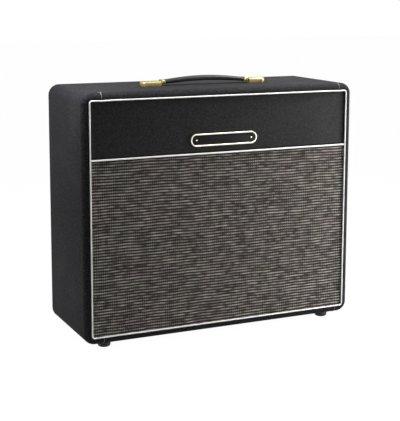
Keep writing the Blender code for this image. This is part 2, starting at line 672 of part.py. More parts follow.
def make_speaker(steel, paper, black, ferrite, coil_finish, cloth):
    """The loudspeaker, turned about its own axis and aimed backwards from the baffle."""
    axis = add_empty("speaker_axis", (0, Y_SPEAKER, Z_SPEAKER), (-QUARTER, 0, 0))
    frame_profile = (
        (FLANGE_RADIUS, 0),
        (FLANGE_RADIUS, FLANGE_THICKNESS),
        (FLANGE_STEP_RADIUS, FLANGE_THICKNESS),
        (FLANGE_STEP_RADIUS, LEDGE_DEPTH + SHEET),
        (LEDGE_RADIUS + SHEET, LEDGE_DEPTH + SHEET),
        (BASKET_REAR_RADIUS + SHEET, BASKET_DEPTH + SHEET),
        (SPIDER_SEAT + SHEET, BASKET_DEPTH + SHEET),
        (SPIDER_SEAT + SHEET, BACK_PLATE_DEPTH + SHEET),
        (THROAT_RADIUS, BACK_PLATE_DEPTH + SHEET),
        (THROAT_RADIUS, BACK_PLATE_DEPTH),
        (SPIDER_SEAT, BACK_PLATE_DEPTH),
        (SPIDER_SEAT, BASKET_DEPTH),
        (BASKET_REAR_RADIUS, BASKET_DEPTH),
        (LEDGE_RADIUS, LEDGE_DEPTH),
        (FLANGE_STEP_RADIUS - SHEET, LEDGE_DEPTH),
        (FLANGE_STEP_RADIUS - SHEET, 0),
    )
    frame = add_object("speaker_frame", turned(frame_profile, SPEAKER_STEPS, True), steel, parent=axis)
    change(frame, make_windows(axis), "DIFFERENCE")
    change(frame, make_terminal(axis), "UNION")

    slope = (CONE_NECK_DEPTH - CONE_FRONT) / (CONE_RADIUS - COIL_RADIUS - FIT)
    neck = COIL_RADIUS + FIT

    def cone_depth(radius):
        return CONE_FRONT + (CONE_RADIUS - radius) * slope

    line = [(CONE_RADIUS, CONE_FRONT), (neck, CONE_NECK_DEPTH)]
    cone_profile = sheet_ring(line, CONE_WALL * math.hypot(1, slope))
    add_object("speaker_cone", turned(cone_profile, SPEAKER_STEPS, True), paper, parent=axis)

    outer = FLANGE_STEP_RADIUS - SHEET - FIT
    seat = LEDGE_DEPTH - FIT - CONE_WALL / 2
    surround_line = pleats(CONE_RADIUS + FIT, LEDGE_RADIUS, seat - ROLL, 2) + [(outer, seat)]
    surround = sheet_ring(surround_line, CONE_WALL)
    add_object("speaker_surround", turned(surround, SPEAKER_STEPS, True), cloth, parent=axis)

    spider_seat = BASKET_DEPTH - FIT - SPIDER_WALL / 2
    spider_line = pleats(neck, SPIDER_SEAT, spider_seat - ROLL, 3) + [(SPIDER_RADIUS, spider_seat)]
    spider = sheet_ring(spider_line, SPIDER_WALL)
    add_object("speaker_spider", turned(spider, COIL_STEPS, True), cloth, parent=axis)

    wall = COIL_RADIUS - COIL_WALL
    coil = ((COIL_RADIUS, COIL_FRONT), (COIL_RADIUS, COIL_REAR), (wall, COIL_REAR), (wall, COIL_FRONT))
    add_object("voice_coil", turned(coil, COIL_STEPS, True), coil_finish, parent=axis)

    rim = cone_depth(DUST_CAP_RADIUS) - CONE_WALL * math.hypot(1, slope) / 2 - FIT
    dome = []
    for i in range(5):
        angle = QUARTER * i / 4.4
        dome.append((DUST_CAP_RADIUS * math.cos(angle), rim - CONE_WALL - DUST_CAP_RISE * math.sin(angle)))
    hollow = [(r - CONE_WALL / 2, d + CONE_WALL) for r, d in dome]
    add_object("dust_cap", turned(hollow[::-1] + dome, COIL_STEPS), black, parent=axis)

    plate_front = MAGNET_PLATE_DEPTH
    magnet_front = plate_front + PLATE_THICKNESS
    magnet_back = magnet_front + MAGNET_THICKNESS
    magnet_profile = (
        (POLE_RADIUS, plate_front),
        (POLE_RADIUS, magnet_back),
        (MAGNET_GAP_RADIUS, magnet_back),
        (MAGNET_GAP_RADIUS, plate_front),
        (PLATE_RADIUS, plate_front),
        (PLATE_RADIUS, magnet_front),
        (MAGNET_RADIUS, magnet_front),
        (MAGNET_RADIUS, magnet_back),
        (PLATE_RADIUS, magnet_back),
        (PLATE_RADIUS, magnet_back + PLATE_THICKNESS),
    )
    add_object("speaker_magnet", turned(magnet_profile, SPEAKER_STEPS), ferrite, parent=axis)


def make_windows(axis):
    """Four wedges that leave the frame with four spokes between its rim and its back."""
    half_angle = math.radians(45 - SPOKE_HALF_ANGLE)
    near, far = SPIDER_SEAT, FLANGE_RADIUS
    wedges = []
    for quarter in range(4):
        rings = []
        for radius in (near, far):
            half = radius * math.tan(half_angle)
            ring = [(radius, -half, WINDOW_START), (radius, half, WINDOW_START)]
            ring += [(radius, half, WINDOW_END), (radius, -half, WINDOW_END)]
            rings.append(ring)
        wedges.append(rotated(loft(rings), 90 * quarter, "Z"))
    return add_object("frame_windows", together(wedges), parent=axis)


def make_terminal(axis):
    """The block that the speaker's lead is soldered to, on the upper left spoke."""
    across, out, along = TERMINAL_SIZE
    low = (-across / 2, -out, TERMINAL_DEPTH)
    high = (across / 2, out / 2, TERMINAL_DEPTH + along)
    share = (TERMINAL_DEPTH - LEDGE_DEPTH) / (BASKET_DEPTH - LEDGE_DEPTH)
    basket_radius = LEDGE_RADIUS + SHEET - share * (LEDGE_RADIUS - BASKET_REAR_RADIUS)
    shape = moved(block(low, high), y=basket_radius)
    return add_object("terminal_block", rotated(shape, 135, "Z"), parent=axis)


def make_back_panels(vinyl):
    lower_z = Z_FLOOR + COVER + FIT + LOWER_PANEL_HEIGHT / 2
    lower = plate(BACK_HALF_WIDTH, LOWER_PANEL_HEIGHT / 2, PANEL_CORNER, 0, PANEL)
    add_object("lower_back_panel", lower, vinyl, (0, Y_PANEL, lower_z))
    upper = plate(BACK_HALF_WIDTH, UPPER_PANEL_HEIGHT / 2, PANEL_CORNER / 3, 0, PANEL)
    panel = add_object("upper_back_panel", upper, vinyl, (0, Y_PANEL, Z_UPPER_PANEL))
    opening = plate(CUTOUT_WIDTH / 2, CUTOUT_HEIGHT / 2, CUTOUT_CORNER, -PANEL, 2 * PANEL)
    tool = add_object("connector_cutout", opening, None, (CUTOUT_CENTRE_X, Y_PANEL, Z_CUTOUT))
    change(panel, tool, "DIFFERENCE")


def hole(x, z, radius, y):
    """A round cutter along Y through the panels at y."""
    shape = turned([(radius, -HOLE_REACH), (radius, HOLE_REACH)], PANEL_HOLE_STEPS)
    return moved(rotated(shape, -90, "X"), x, y, z)


def make_chassis(steel, gold):
    """The tray, the control panel that closes its rear, and the bracket of the connections."""
    half = CHASSIS_WIDTH / 2
    front = Y_CHASSIS - CHASSIS_DEPTH
    tray = add_object(
        "chassis", block((-half, front, Z_CHASSIS), (half, Y_CHASSIS, Z_CEILING)), steel
    )
    sheet = CHASSIS_SHEET
    pocket = block(
        (-half + sheet, front + sheet, Z_CHASSIS + sheet),
        (half - sheet, Y_CHASSIS + sheet, Z_CEILING + BOARD),
    )
    change(tray, add_object("chassis_pocket", pocket), "DIFFERENCE")
    sockets = []
    for x in VALVE_X:
        shape = turned([(SOCKET_RADIUS, -SOCKET_HEIGHT), (SOCKET_RADIUS, sheet / 2)], VALVE_STEPS)
        sockets.append(moved(shape, x, VALVE_Y, Z_CHASSIS))
    change(tray, add_object("valve_sockets", together(sockets)), "UNION")
    cuts = [hole(x, Z_CONTROL, SHAFT_RADIUS + SHAFT_CLEARANCE, Y_CONTROL) for x in KNOB_X]
    cuts += [hole(x, Z_CONTROL, JACK_NECK + SHAFT_CLEARANCE, Y_CONTROL) for x in INPUT_JACK_X]
    cuts += [hole(x, Z_CONTROL, BUSHING_BORE, Y_CONTROL) for x in TOGGLE_X]
    cuts.append(hole(LAMP_X, Z_CONTROL, LAMP_RADIUS + SHAFT_CLEARANCE, Y_CONTROL))
    face = plate(CONTROL_WIDTH / 2, CHASSIS_HEIGHT / 2, CONTROL_CORNER, -CONTROL_SHEET, 0, 2)
    panel = add_object("control_panel", face, gold, (0, Y_CONTROL, Z_CONTROL))
    change(panel, add_object("control_holes", together(cuts)), "DIFFERENCE")
    collars = []
    for x in TOGGLE_X:
        rise = BUSHING_HEIGHT
        sunk = -CONTROL_SHEET / 2
        radii = (BUSHING_RADIUS, BUSHING_BORE)
        ring = ((radii[0], sunk), (radii[0], rise), (radii[1], rise), (radii[1], sunk))
        shape = rotated(turned(ring, PANEL_HOLE_STEPS, True), -90, "X")
        collars.append(moved(shape, x, Y_CONTROL, Z_CONTROL))
    change(panel, add_object("toggle_bushings", together(collars)), "UNION")
    make_connector_panel(steel)


def make_connector_panel(steel):
    """An angle of sheet under the chassis: its upright leg takes the inlet, fuses and jacks."""
    sheet = CHASSIS_SHEET
    top = Z_CHASSIS - FIT
    low = Z_CUTOUT - CUTOUT_HEIGHT / 2 - CONNECTOR_LAP
    flange_y = Y_CHASSIS - CONNECTOR_FLANGE
    section = (
        (Y_CHASSIS, low),
        (Y_CHASSIS, top),
        (flange_y, top),
        (flange_y, top - sheet),
        (Y_CHASSIS - sheet, top - sheet),
        (Y_CHASSIS - sheet, low),
    )
    reach = CUTOUT_WIDTH / 2 + CONNECTOR_LAP
    ends = (CUTOUT_CENTRE_X - reach, CUTOUT_CENTRE_X + reach)
    angle = add_object("connector_panel", loft([[(x, y, z) for y, z in section] for x in ends]), steel)
    cuts = [hole(x, Z_CUTOUT, FUSE_NECK + SHAFT_CLEARANCE, Y_CHASSIS) for x in FUSE_X]
    cuts += [hole(x, Z_CUTOUT, JACK_NECK + SHAFT_CLEARANCE, Y_CHASSIS) for x in SPEAKER_JACK_X]
    cuts.append(hole(SELECTOR_X, Z_CUTOUT, SHAFT_RADIUS + SHAFT_CLEARANCE, Y_CHASSIS))
    half_x, half_z = (size / 2 + SHAFT_CLEARANCE for size in INLET_BODY)
    inlet = plate(half_x, half_z, INLET_CORNER, -HOLE_REACH, HOLE_REACH)
    cuts.append(moved(inlet, INLET_X, Y_CHASSIS, Z_CUTOUT))
    change(angle, add_object("connector_holes", together(cuts)), "DIFFERENCE")


def datum(name, x, y, z):
    """An empty on a panel's rear face, with its Z pointing out of the back."""
    return add_empty(name, (x, y, z), (-QUARTER, 0, 0))


def make_knobs(black):
    """Turned knobs with a pointer slot, each on its own shaft."""
    foot = KNOB_LIFT
    profile = (
        (SHAFT_RADIUS, -SHAFT_LENGTH),
        (SHAFT_RADIUS, foot),
        (KNOB_RADIUS, foot),
        (KNOB_RADIUS, foot + 0.18 * KNOB_HEIGHT),
        (KNOB_TOP_RADIUS, foot + 0.30 * KNOB_HEIGHT),
        (KNOB_TOP_RADIUS, foot + 0.94 * KNOB_HEIGHT),
        (0.92 * KNOB_TOP_RADIUS, foot + KNOB_HEIGHT),
    )
    high = foot + KNOB_HEIGHT
    for name, x in zip(KNOB_NAMES, KNOB_X):
        axis = datum(name + "_axis", x, Y_CONTROL, Z_CONTROL)
        knob = add_object(name, turned(profile, KNOB_STEPS), black, parent=axis)
        cut_slot(knob, axis, KNOB_SLOT, -KNOB_TOP_RADIUS - KNOB_SLOT, -0.35 * KNOB_TOP_RADIUS, high)


def cut_slot(target, axis, width, start, end, high):
    """A slot in a turned piece's outer face, along its local Y from start to end."""
    shape = block((-width / 2, start, high - SLOT_DEPTH), (width / 2, end, high + SLOT_DEPTH))
    change(target, add_object(target.name + "_slot", shape, parent=axis), "DIFFERENCE")


def make_jacks(names, places, y, z, thickness, steel):
    """Jack sockets: a nut and nose outside, a neck in the panel, and a body behind it."""
    behind = -thickness - FIT
    end = behind - JACK_BODY_LENGTH
    profile = (
        (JACK_BORE, end + JACK_BORE),
        (JACK_BORE, JACK_NOSE),
        (JACK_NECK, JACK_NOSE),
        (JACK_NECK, JACK_NUT_HEIGHT),
        (JACK_NUT, JACK_NUT_HEIGHT),
        (JACK_NUT, FIT),
        (JACK_NECK, FIT),
        (JACK_NECK, behind),
        (JACK_BODY, behind),
        (JACK_BODY, end),
    )
    for name, x in zip(names, places):
        add_object(name, turned(profile, JACK_STEPS), steel, parent=datum(name + "_axis", x, y, z))


def make_lamp(glass):
    profile = (
        (LAMP_RADIUS, -LAMP_BODY_LENGTH),
        (LAMP_RADIUS, FIT),
        (LAMP_FLANGE, FIT),
        (LAMP_FLANGE, FIT + LAMP_COLLAR),
        (0.85 * LAMP_FLANGE, FIT + 2 * LAMP_COLLAR),
        (0.60 * LAMP_FLANGE, 0.85 * LAMP_RISE),
        (0.25 * LAMP_FLANGE, LAMP_RISE),
    )
    axis = datum("lamp_axis", LAMP_X, Y_CONTROL, Z_CONTROL)
    add_object("pilot_lamp", turned(profile, JACK_STEPS), glass, parent=axis)


def make_toggles(chrome):
    """Bat levers, each pivoted in its bushing and standing at its lower stop."""
    ball = 0.7 * BUSHING_BORE
    profile = (
        (0.5 * ball, -0.8 * ball),
        (ball, 0),
        (0.6 * ball, 0.8 * ball),
        (TOGGLE_NECK, BUSHING_HEIGHT),
        (0.8 * TOGGLE_TIP, 0.6 * TOGGLE_LENGTH),
        (TOGGLE_TIP, 0.85 * TOGGLE_LENGTH),
        (0.6 * TOGGLE_TIP, TOGGLE_LENGTH),
    )
    down = -QUARTER - math.radians(TOGGLE_TILT)
    for name, x in zip(TOGGLE_NAMES, TOGGLE_X):
        place = (x, Y_CONTROL + TOGGLE_PIVOT, Z_CONTROL)
        add_object(name, turned(profile, JACK_STEPS), chrome, place, (down, 0, 0))


def make_inlet(black, brass):
    """The mains inlet: a flanged shell with a recess and three flat pins."""
    front = FIT + INLET_LIP
    floor = front - INLET_RECESS_DEPTH
    chain = (
        (INLET_BODY, -INLET_DEPTH),
        (INLET_BODY, FIT),
        (INLET_FLANGE, FIT),
        (INLET_FLANGE, front),
        (INLET_RECESS, front),
        (INLET_RECESS, floor),
    )
    rings = []
    for (width, height), y in chain:
        outline = rounded_rectangle(width / 2, height / 2, INLET_CORNER, 2)
        rings.append([(u, y, v) for u, v in outline])
    place = (INLET_X, Y_CHASSIS, Z_CUTOUT)
    shell = add_object("mains_inlet", loft(rings), black, place)
    pin_x, pin_z = INLET_PIN
    pins = []
    apart = INLET_PIN_SPACING / 2
    spots = ((-apart, -INLET_LINE_DROP), (apart, -INLET_LINE_DROP), (0, INLET_EARTH_RISE))
    for x, z in spots:
        low = (x - pin_x / 2, floor - INLET_LIP / 2, z - pin_z / 2)
        high = (x + pin_x / 2, floor + INLET_PIN_LENGTH, z + pin_z / 2)
        pins.append(block(low, high))
    change(shell, add_object("inlet_pins", together(pins), brass, place), "UNION")


def make_turned_cap(name, x, sizes, finish):
    """A fuse cap or selector: a neck in the panel and a slotted head outside."""
    radius, height, neck, neck_length = sizes
    profile = (
        (neck, -neck_length),
        (neck, KNOB_LIFT),
        (radius, KNOB_LIFT),
        (radius, KNOB_LIFT + 0.85 * height),
        (0.88 * radius, KNOB_LIFT + height),
    )
    axis = datum(name + "_axis", x, Y_CHASSIS, Z_CUTOUT)
    cap = add_object(name, turned(profile, KNOB_STEPS), finish, parent=axis)
    cut_slot(cap, axis, KNOB_SLOT, -2 * radius, 2 * radius, KNOB_LIFT + height)


def make_transformer(name, x, size, steel):
    """Laminations between two drawn bell covers, hung under the chassis."""
    length, width, height = size
    core = CORE_SHARE * length / 2
    half = length / 2
    stations = (
        (-half, 2.2 * BELL_INSET),
        (-half + 0.35 * BELL_ROUND, 1.3 * BELL_INSET),
        (-half + BELL_ROUND, BELL_INSET),
        (-core, BELL_INSET),
        (-core, 0),
        (core, 0),
        (core, BELL_INSET),
        (half - BELL_ROUND, BELL_INSET),
        (half - 0.35 * BELL_ROUND, 1.3 * BELL_INSET),
        (half, 2.2 * BELL_INSET),
    )
    rings = []
    for along, inset in stations:
        across = rounded_rectangle(width / 2 - inset, height / 2 - inset, 0.6 * BELL_INSET, 2)
        rings.append([(along, u, v) for u, v in across])
    place = (x, 0, Z_CHASSIS - FIT - height / 2)
    add_object(name, loft(rings), steel, place)


def make_valves(glass):
    for (name, length), x in zip(VALVES, VALVE_X):
        profile = (
            (0.80 * VALVE_RADIUS, 0),
            (VALVE_RADIUS, -0.06 * length),
            (VALVE_RADIUS, -0.80 * length),
            (0.86 * VALVE_RADIUS, -0.88 * length),
            (0.50 * VALVE_RADIUS, -0.93 * length),
            (0.14 * VALVE_RADIUS, -0.95 * length),
            (0.08 * VALVE_RADIUS, -length),
        )
        top = Z_CHASSIS - SOCKET_HEIGHT - FIT
        add_object(name, turned(profile, VALVE_STEPS), glass, (x, VALVE_Y, top))


def make_capacitor(can):
    """The filter capacitor's can, with a rolled lip at its foot."""
    radius = CAPACITOR_RADIUS
    profile = (
        (radius, 0),
        (radius, -0.93 * CAPACITOR_LENGTH),
        (radius + CAPACITOR_LIP, -0.95 * CAPACITOR_LENGTH),
        (radius + CAPACITOR_LIP, -0.98 * CAPACITOR_LENGTH),
        (radius, -CAPACITOR_LENGTH),
    )
    place = (CAPACITOR_X, VALVE_Y, Z_CHASSIS - FIT)
    add_object("filter_capacitor", turned(profile, KNOB_STEPS), can, place)


def main():
    for old in list(bpy.data.objects):
        bpy.data.objects.remove(old)
    vinyl = material("black_vinyl", (0.022, 0.022, 0.024), 0.45)
    wood = material("plywood", (0.45, 0.32, 0.19), 0.7)
    cloth = material("grille_cloth", (0.20, 0.19, 0.17), 0.9)
    white = material("white_piping", (0.80, 0.79, 0.76), 0.4)
    gold = material("gold_metal", (0.78, 0.66, 0.36), 0.3, 1.0)
    panel_gold = material("panel_gold", (0.62, 0.48, 0.22), 0.35, 1.0)
    rubber = material("black_rubber", (0.02, 0.02, 0.02), 0.8)
    steel = material("zinc_steel", (0.55, 0.55, 0.54), 0.4, 1.0)
    grey_steel = material("grey_steel", (0.30, 0.31, 0.32), 0.5, 1.0)
    paper = material("grey_paper", (0.10, 0.10, 0.105), 0.9)
    black = material("black_plastic", (0.02, 0.02, 0.02), 0.35)
    ferrite = material("ferrite", (0.06, 0.06, 0.06), 0.6)
    copper = material("coil_former", (0.45, 0.22, 0.10), 0.5)
    treated = material("treated_cloth", (0.30, 0.22, 0.12), 0.8)
    chrome = material("chrome", (0.80, 0.80, 0.80), 0.15, 1.0)
    glass = material("valve_glass", (0.75, 0.80, 0.80), 0.05)
    jewel = material("red_jewel", (0.60, 0.02, 0.01), 0.1)
    brass = material("brass_pins", (0.75, 0.60, 0.30), 0.3, 1.0)

    make_boards(wood)
    make_covering(vinyl)
    make_front(vinyl, cloth, wood, white, gold)
    make_feet(rubber)
    make_handle(gold, vinyl)
    make_speaker(grey_steel, paper, black, ferrite, copper, treated)
    make_back_panels(vinyl)
    make_chassis(steel, panel_gold)
    make_knobs(black)
    inputs = [f"input_jack_{i + 1}" for i in range(len(INPUT_JACK_X))]
    outputs = [f"speaker_jack_{i + 1}" for i in range(len(SPEAKER_JACK_X))]
    make_jacks(inputs, INPUT_JACK_X, Y_CONTROL, Z_CONTROL, CONTROL_SHEET, chrome)
    make_jacks(outputs, SPEAKER_JACK_X, Y_CHASSIS, Z_CUTOUT, CHASSIS_SHEET, chrome)
    make_lamp(jewel)
    make_toggles(chrome)
    make_inlet(black, brass)
    for name, x in zip(FUSE_NAMES, FUSE_X):
        make_turned_cap(name, x, (FUSE_RADIUS, FUSE_HEIGHT, FUSE_NECK, FUSE_NECK_LENGTH), black)
    selector = (SELECTOR_RADIUS, SELECTOR_HEIGHT, SHAFT_RADIUS, SHAFT_LENGTH)
    make_turned_cap("impedance_selector", SELECTOR_X, selector, black)
    make_transformer("mains_transformer", MAINS_TRANSFORMER_X, MAINS_TRANSFORMER_SIZE, grey_steel)
    make_transformer("output_transformer", OUTPUT_TRANSFORMER_X, OUTPUT_TRANSFORMER_SIZE, grey_steel)
    make_valves(glass)
    make_capacitor(chrome)


main()
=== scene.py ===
"""The looks of a combo guitar amplifier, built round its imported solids.

Metres, +Z up. The front faces -Y and the controls face +Y. Left and right are as seen from the
front. Every mesh is made in the frame's own coordinates, with its object at the origin.
"""

import itertools
import math

import bmesh
import bpy
from mathutils import Matrix, Vector, noise


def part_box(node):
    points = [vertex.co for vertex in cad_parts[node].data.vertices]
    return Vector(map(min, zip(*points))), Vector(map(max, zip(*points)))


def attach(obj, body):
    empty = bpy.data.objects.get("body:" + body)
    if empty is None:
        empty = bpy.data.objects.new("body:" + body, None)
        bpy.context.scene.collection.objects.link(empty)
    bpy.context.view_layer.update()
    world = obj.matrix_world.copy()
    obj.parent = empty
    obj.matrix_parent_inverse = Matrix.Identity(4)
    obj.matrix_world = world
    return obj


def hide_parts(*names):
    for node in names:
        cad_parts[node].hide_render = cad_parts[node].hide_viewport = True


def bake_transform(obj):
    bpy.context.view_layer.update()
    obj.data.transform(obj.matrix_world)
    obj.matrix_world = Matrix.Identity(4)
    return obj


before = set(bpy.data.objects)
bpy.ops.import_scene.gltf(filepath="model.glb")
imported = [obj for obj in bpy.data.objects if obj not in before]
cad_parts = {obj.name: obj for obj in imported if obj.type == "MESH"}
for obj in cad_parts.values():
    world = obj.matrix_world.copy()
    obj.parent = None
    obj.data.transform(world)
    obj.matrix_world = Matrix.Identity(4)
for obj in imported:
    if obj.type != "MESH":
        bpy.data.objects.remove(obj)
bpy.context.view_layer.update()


def nodes_with(part):
    return [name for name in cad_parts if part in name]


def centre_of(node, up=2):
    """The middle of a node's box, as x and one other axis."""
    low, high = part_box(node)
    return (low.x + high.x) / 2, (low[up] + high[up]) / 2


QUARTER = math.pi / 2
FIT = 0.0003  # gap between pieces that touch
COVER = 0.001  # vinyl covering
SIDES = ((-1, "left"), (1, "right"))
EASING_STEPS = 4  # of a board's edges
ARC_STEPS = 3  # of a turned profile's corners

# The box
SHELL_LOW, SHELL_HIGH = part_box("vinyl_covering")
WIDTH = SHELL_HIGH.x - SHELL_LOW.x
BOX_HEIGHT = SHELL_HIGH.z - SHELL_LOW.z
BOX_MIDDLE = (SHELL_HIGH.z + SHELL_LOW.z) / 2
Y_FRONT = SHELL_LOW.y
Y_REAR = SHELL_HIGH.y
Z_TOP = SHELL_HIGH.z
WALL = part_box("right_board")[1].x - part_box("top_board")[1].x + COVER
CORNER_RADIUS = 0.023
EDGE_RADIUS = 0.013
CORNER_STEPS = 14
EDGE_STEPS = 9
MOUTH_CORNER = 0.0076  # of the front opening
LEAST_CORNER = 0.003
PEBBLES = 680  # of the vinyl, per metre
SEAM_PLACES = (-0.2645, 0.2735)  # along the front's upper and lower edges
SEAM_RADIUS = 0.0007
SEAM_FORK = 0.62  # share of the rounded edge below the fork of a seam
SEAM_SPREAD = 0.0036

# Grille cloth
GRILLE_LOW, GRILLE_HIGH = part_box("grille_cloth")
GRILLE_HEIGHT = GRILLE_HIGH.z - GRILLE_LOW.z
RIB_COUNT = round(GRILLE_HEIGHT / 0.006)
RIB_PITCH = GRILLE_HEIGHT / RIB_COUNT
RIB_STEPS = 8
RIB_DEPTH = 0.0008
GRILLE_COLUMNS = 56
THREAD_PITCH = 0.0046
GRILLE_RIM = 0.003
WAVES = ((0.00035, 52.0, 19.0), (0.00022, 121.0, -33.0))  # height, radians per metre across and up

# Piping
BEAD_RADIUS = 0.0014
DIVIDER_RADIUS = 0.00165
FLANGE_HALF = 0.00045  # half the thickness of the flap that the bead is sewn to
PIPING_CORNER = 0.0052
PIPING_SIDES = 16
PIPING_SPACING = 0.01
PIPING_WOBBLE = 0.00022
SEAM_DIPS = ((-0.262, 0.0008, 0.008), (0.272, 0.0004, 0.007))  # x, depth and width

# Handle
TONGUE_SLIDE = 0.006
HANDLE_LIFT = 0.022
LEAN = TONGUE_SLIDE / HANDLE_LIFT  # slope of the faces where strap and ferrule slide past
STRAP_LOW, STRAP_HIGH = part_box("handle_strap")
HANDLE_Y = (STRAP_LOW.y + STRAP_HIGH.y) / 2
STRAP_END = 0.0082  # thickness
STRAP_MIDDLE = 0.0106
STRAP_RISE = 0.0087
STRAP_STATIONS = 22  # in each half
STRAP_SIDES = 36
FERRULE_RISE = 0.0029
FERRULE_LENGTH = 0.0075
FERRULE_HEIGHT = 0.0088
TONGUE_SIZE = (0.018, 0.0026)
TONGUE_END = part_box("handle_ferrule_right")[1].x
TONGUE_LENGTH = 0.028
TONGUE_Z = centre_of("handle_cap_left")[1]
FERRULE_OUTER = TONGUE_END - TONGUE_LENGTH
FERRULE_INNER = FERRULE_OUTER - FERRULE_LENGTH
CAP_SOFTNESS = 0.0022
CAP_STEPS = 18

# Loudspeaker. Depths are measured back from its mounting flange.
SPEAKER = Vector((0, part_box("speaker_frame")[0].y, centre_of("speaker_frame")[1]))
SPEAKER_STEPS = 96
FLANGE_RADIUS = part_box("speaker_frame")[1].x
STEP_RADIUS = FLANGE_RADIUS - 0.0135
LEDGE_RADIUS = STEP_RADIUS - 0.013
CONE_RADIUS = LEDGE_RADIUS - 0.011
FLANGE_THICKNESS = 0.002
LEDGE_DEPTH = 0.007
BASKET_DEPTH = 0.07
BASKET_REAR = 0.06
SPIDER_SEAT = 0.05
BACK_PLATE = 0.08
SHEET = 0.0024
COIL_RADIUS = 0.0227
CONE_FRONT = 0.005
CONE_NECK = 0.062
CONE_WALL = 0.0012
DUST_CAP_RADIUS = 0.031
DUST_CAP_RISE = 0.012
MAGNET_BORE = 0.0267
PLATE_RADIUS = 0.052
FERRITE_RADIUS = 0.065
WINDOW = (0.016, 0.063)
SPOKE_HALF_ANGLE = 16.0

# Controls and connections
JACK_REACH = 0.0042  # of a jack's bush, past the panel
Y_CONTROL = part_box("input_jack_1")[1].y - JACK_REACH
Y_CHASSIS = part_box("speaker_jack_1")[1].y - JACK_REACH
Y_INK = Y_CONTROL + 0.0001
KNOBS = nodes_with("_knob")
FUSE_CAPS = nodes_with("fuse_cap")
TOGGLES = nodes_with("_toggle")
KNOB_Z = centre_of(KNOBS[0])[1]
KNOB_LIFT = 0.0006
DIAL_RADIUS = 0.0163
DIAL_NUMBERS = 11
DEGREES_PER_NUMBER = 30
NUMBER_SIZE = 0.0042
SWITCH_LETTERS = 0.0165  # above and below the middle of a toggle

# Light and stage
AMBIENT = 0.06
FLOOR_REACH = 12
FLOOR_GREY = 0.5
FLOOR_WHITE = (0.92, 1.07)  # share and strength of the white that the camera sees
WARM = (1.0, 0.98, 0.95)
SOFT = (1.0, 0.99, 0.97)
PLAIN = (1.0, 1.0, 1.0)
LAMPS = (  # place, target, size, power and colour
    ("key", (0.8, -0.31, 0.33), (0.26, -0.05, 0.25), (0.22, 0.6), 7.6, WARM),
    ("key_low", (0.85, -0.5, 0.08), (0.25, 0, 0.12), (0.5, 0.12), 3.84, WARM),
    ("top", (0.42, -0.32, 1.2), (0.1, 0, 0.5), (0.6, 0.4), 8.8, SOFT),
    ("top_near", (0.45, -0.08, 1.05), (0.15, -0.05, 0.5), (0.5, 0.3), 10.4, SOFT),
    ("top_left", (-0.25, -0.15, 1.1), (-0.2, -0.05, 0.5), (0.5, 0.3), 3.12, PLAIN),
    ("side_near", (-0.44, -0.08, 0.72), (-0.3, -0.08, 0.5), (0.1, 0.2), 2.5, (0.9, 0.93, 1.0)),
    ("side", (-0.8, 0.45, 0.8), (-0.3, 0, 0.45), (0.4, 0.4), 1.0, (0.95, 0.97, 1.0)),
    ("side_low", (-0.6, 0.1, 0.06), (-0.3, 0, 0.06), (0.4, 0.1), 0.85, PLAIN),
    ("back", (-1.0, 1.5, 0.9), (0, 0.1, 0.3), (1.0, 1.0), 2.4, PLAIN),
    ("back_low", (0, 1.5, 0.26), (0, 0.1, 0.28), (2.4, 0.4), 6.4, PLAIN),
)

# The photograph and its camera
PHOTO = (400, 421)  # pixels
CAMERA_TURN = -24.766
CAMERA_RISE = 8.744
CAMERA_ROLL = 0.1285
CAMERA_DISTANCE = 2.2224
CAMERA_AIM = Vector((-0.05612, 0, 0.36939))  # from the front face's middle at the box's underside
FOCAL_PIXELS = 1094.4
OPTICAL_CENTRE = (199.5, 156.0)


def rgba(value):
    return (*value, 1.0) if isinstance(value, tuple) else (value, value, value, 1.0)


def scaled(colour, share):
    return tuple(share * part for part in colour)


def join(tree, socket, value):
    """Links an output to a socket, or sets the socket's value."""
    if isinstance(value, bpy.types.NodeSocket):
        tree.links.new(value, socket)
    else:
        socket.default_value = rgba(value) if socket.type == "RGBA" else value


def shader_node(tree, kind, sockets, output=0, **settings):
    made = tree.nodes.new("ShaderNode" + kind)
    for key, value in settings.items():
        setattr(made, key, value)
    for socket, value in sockets.items():
        join(tree, made.inputs[socket], value)
    return made.outputs[output]


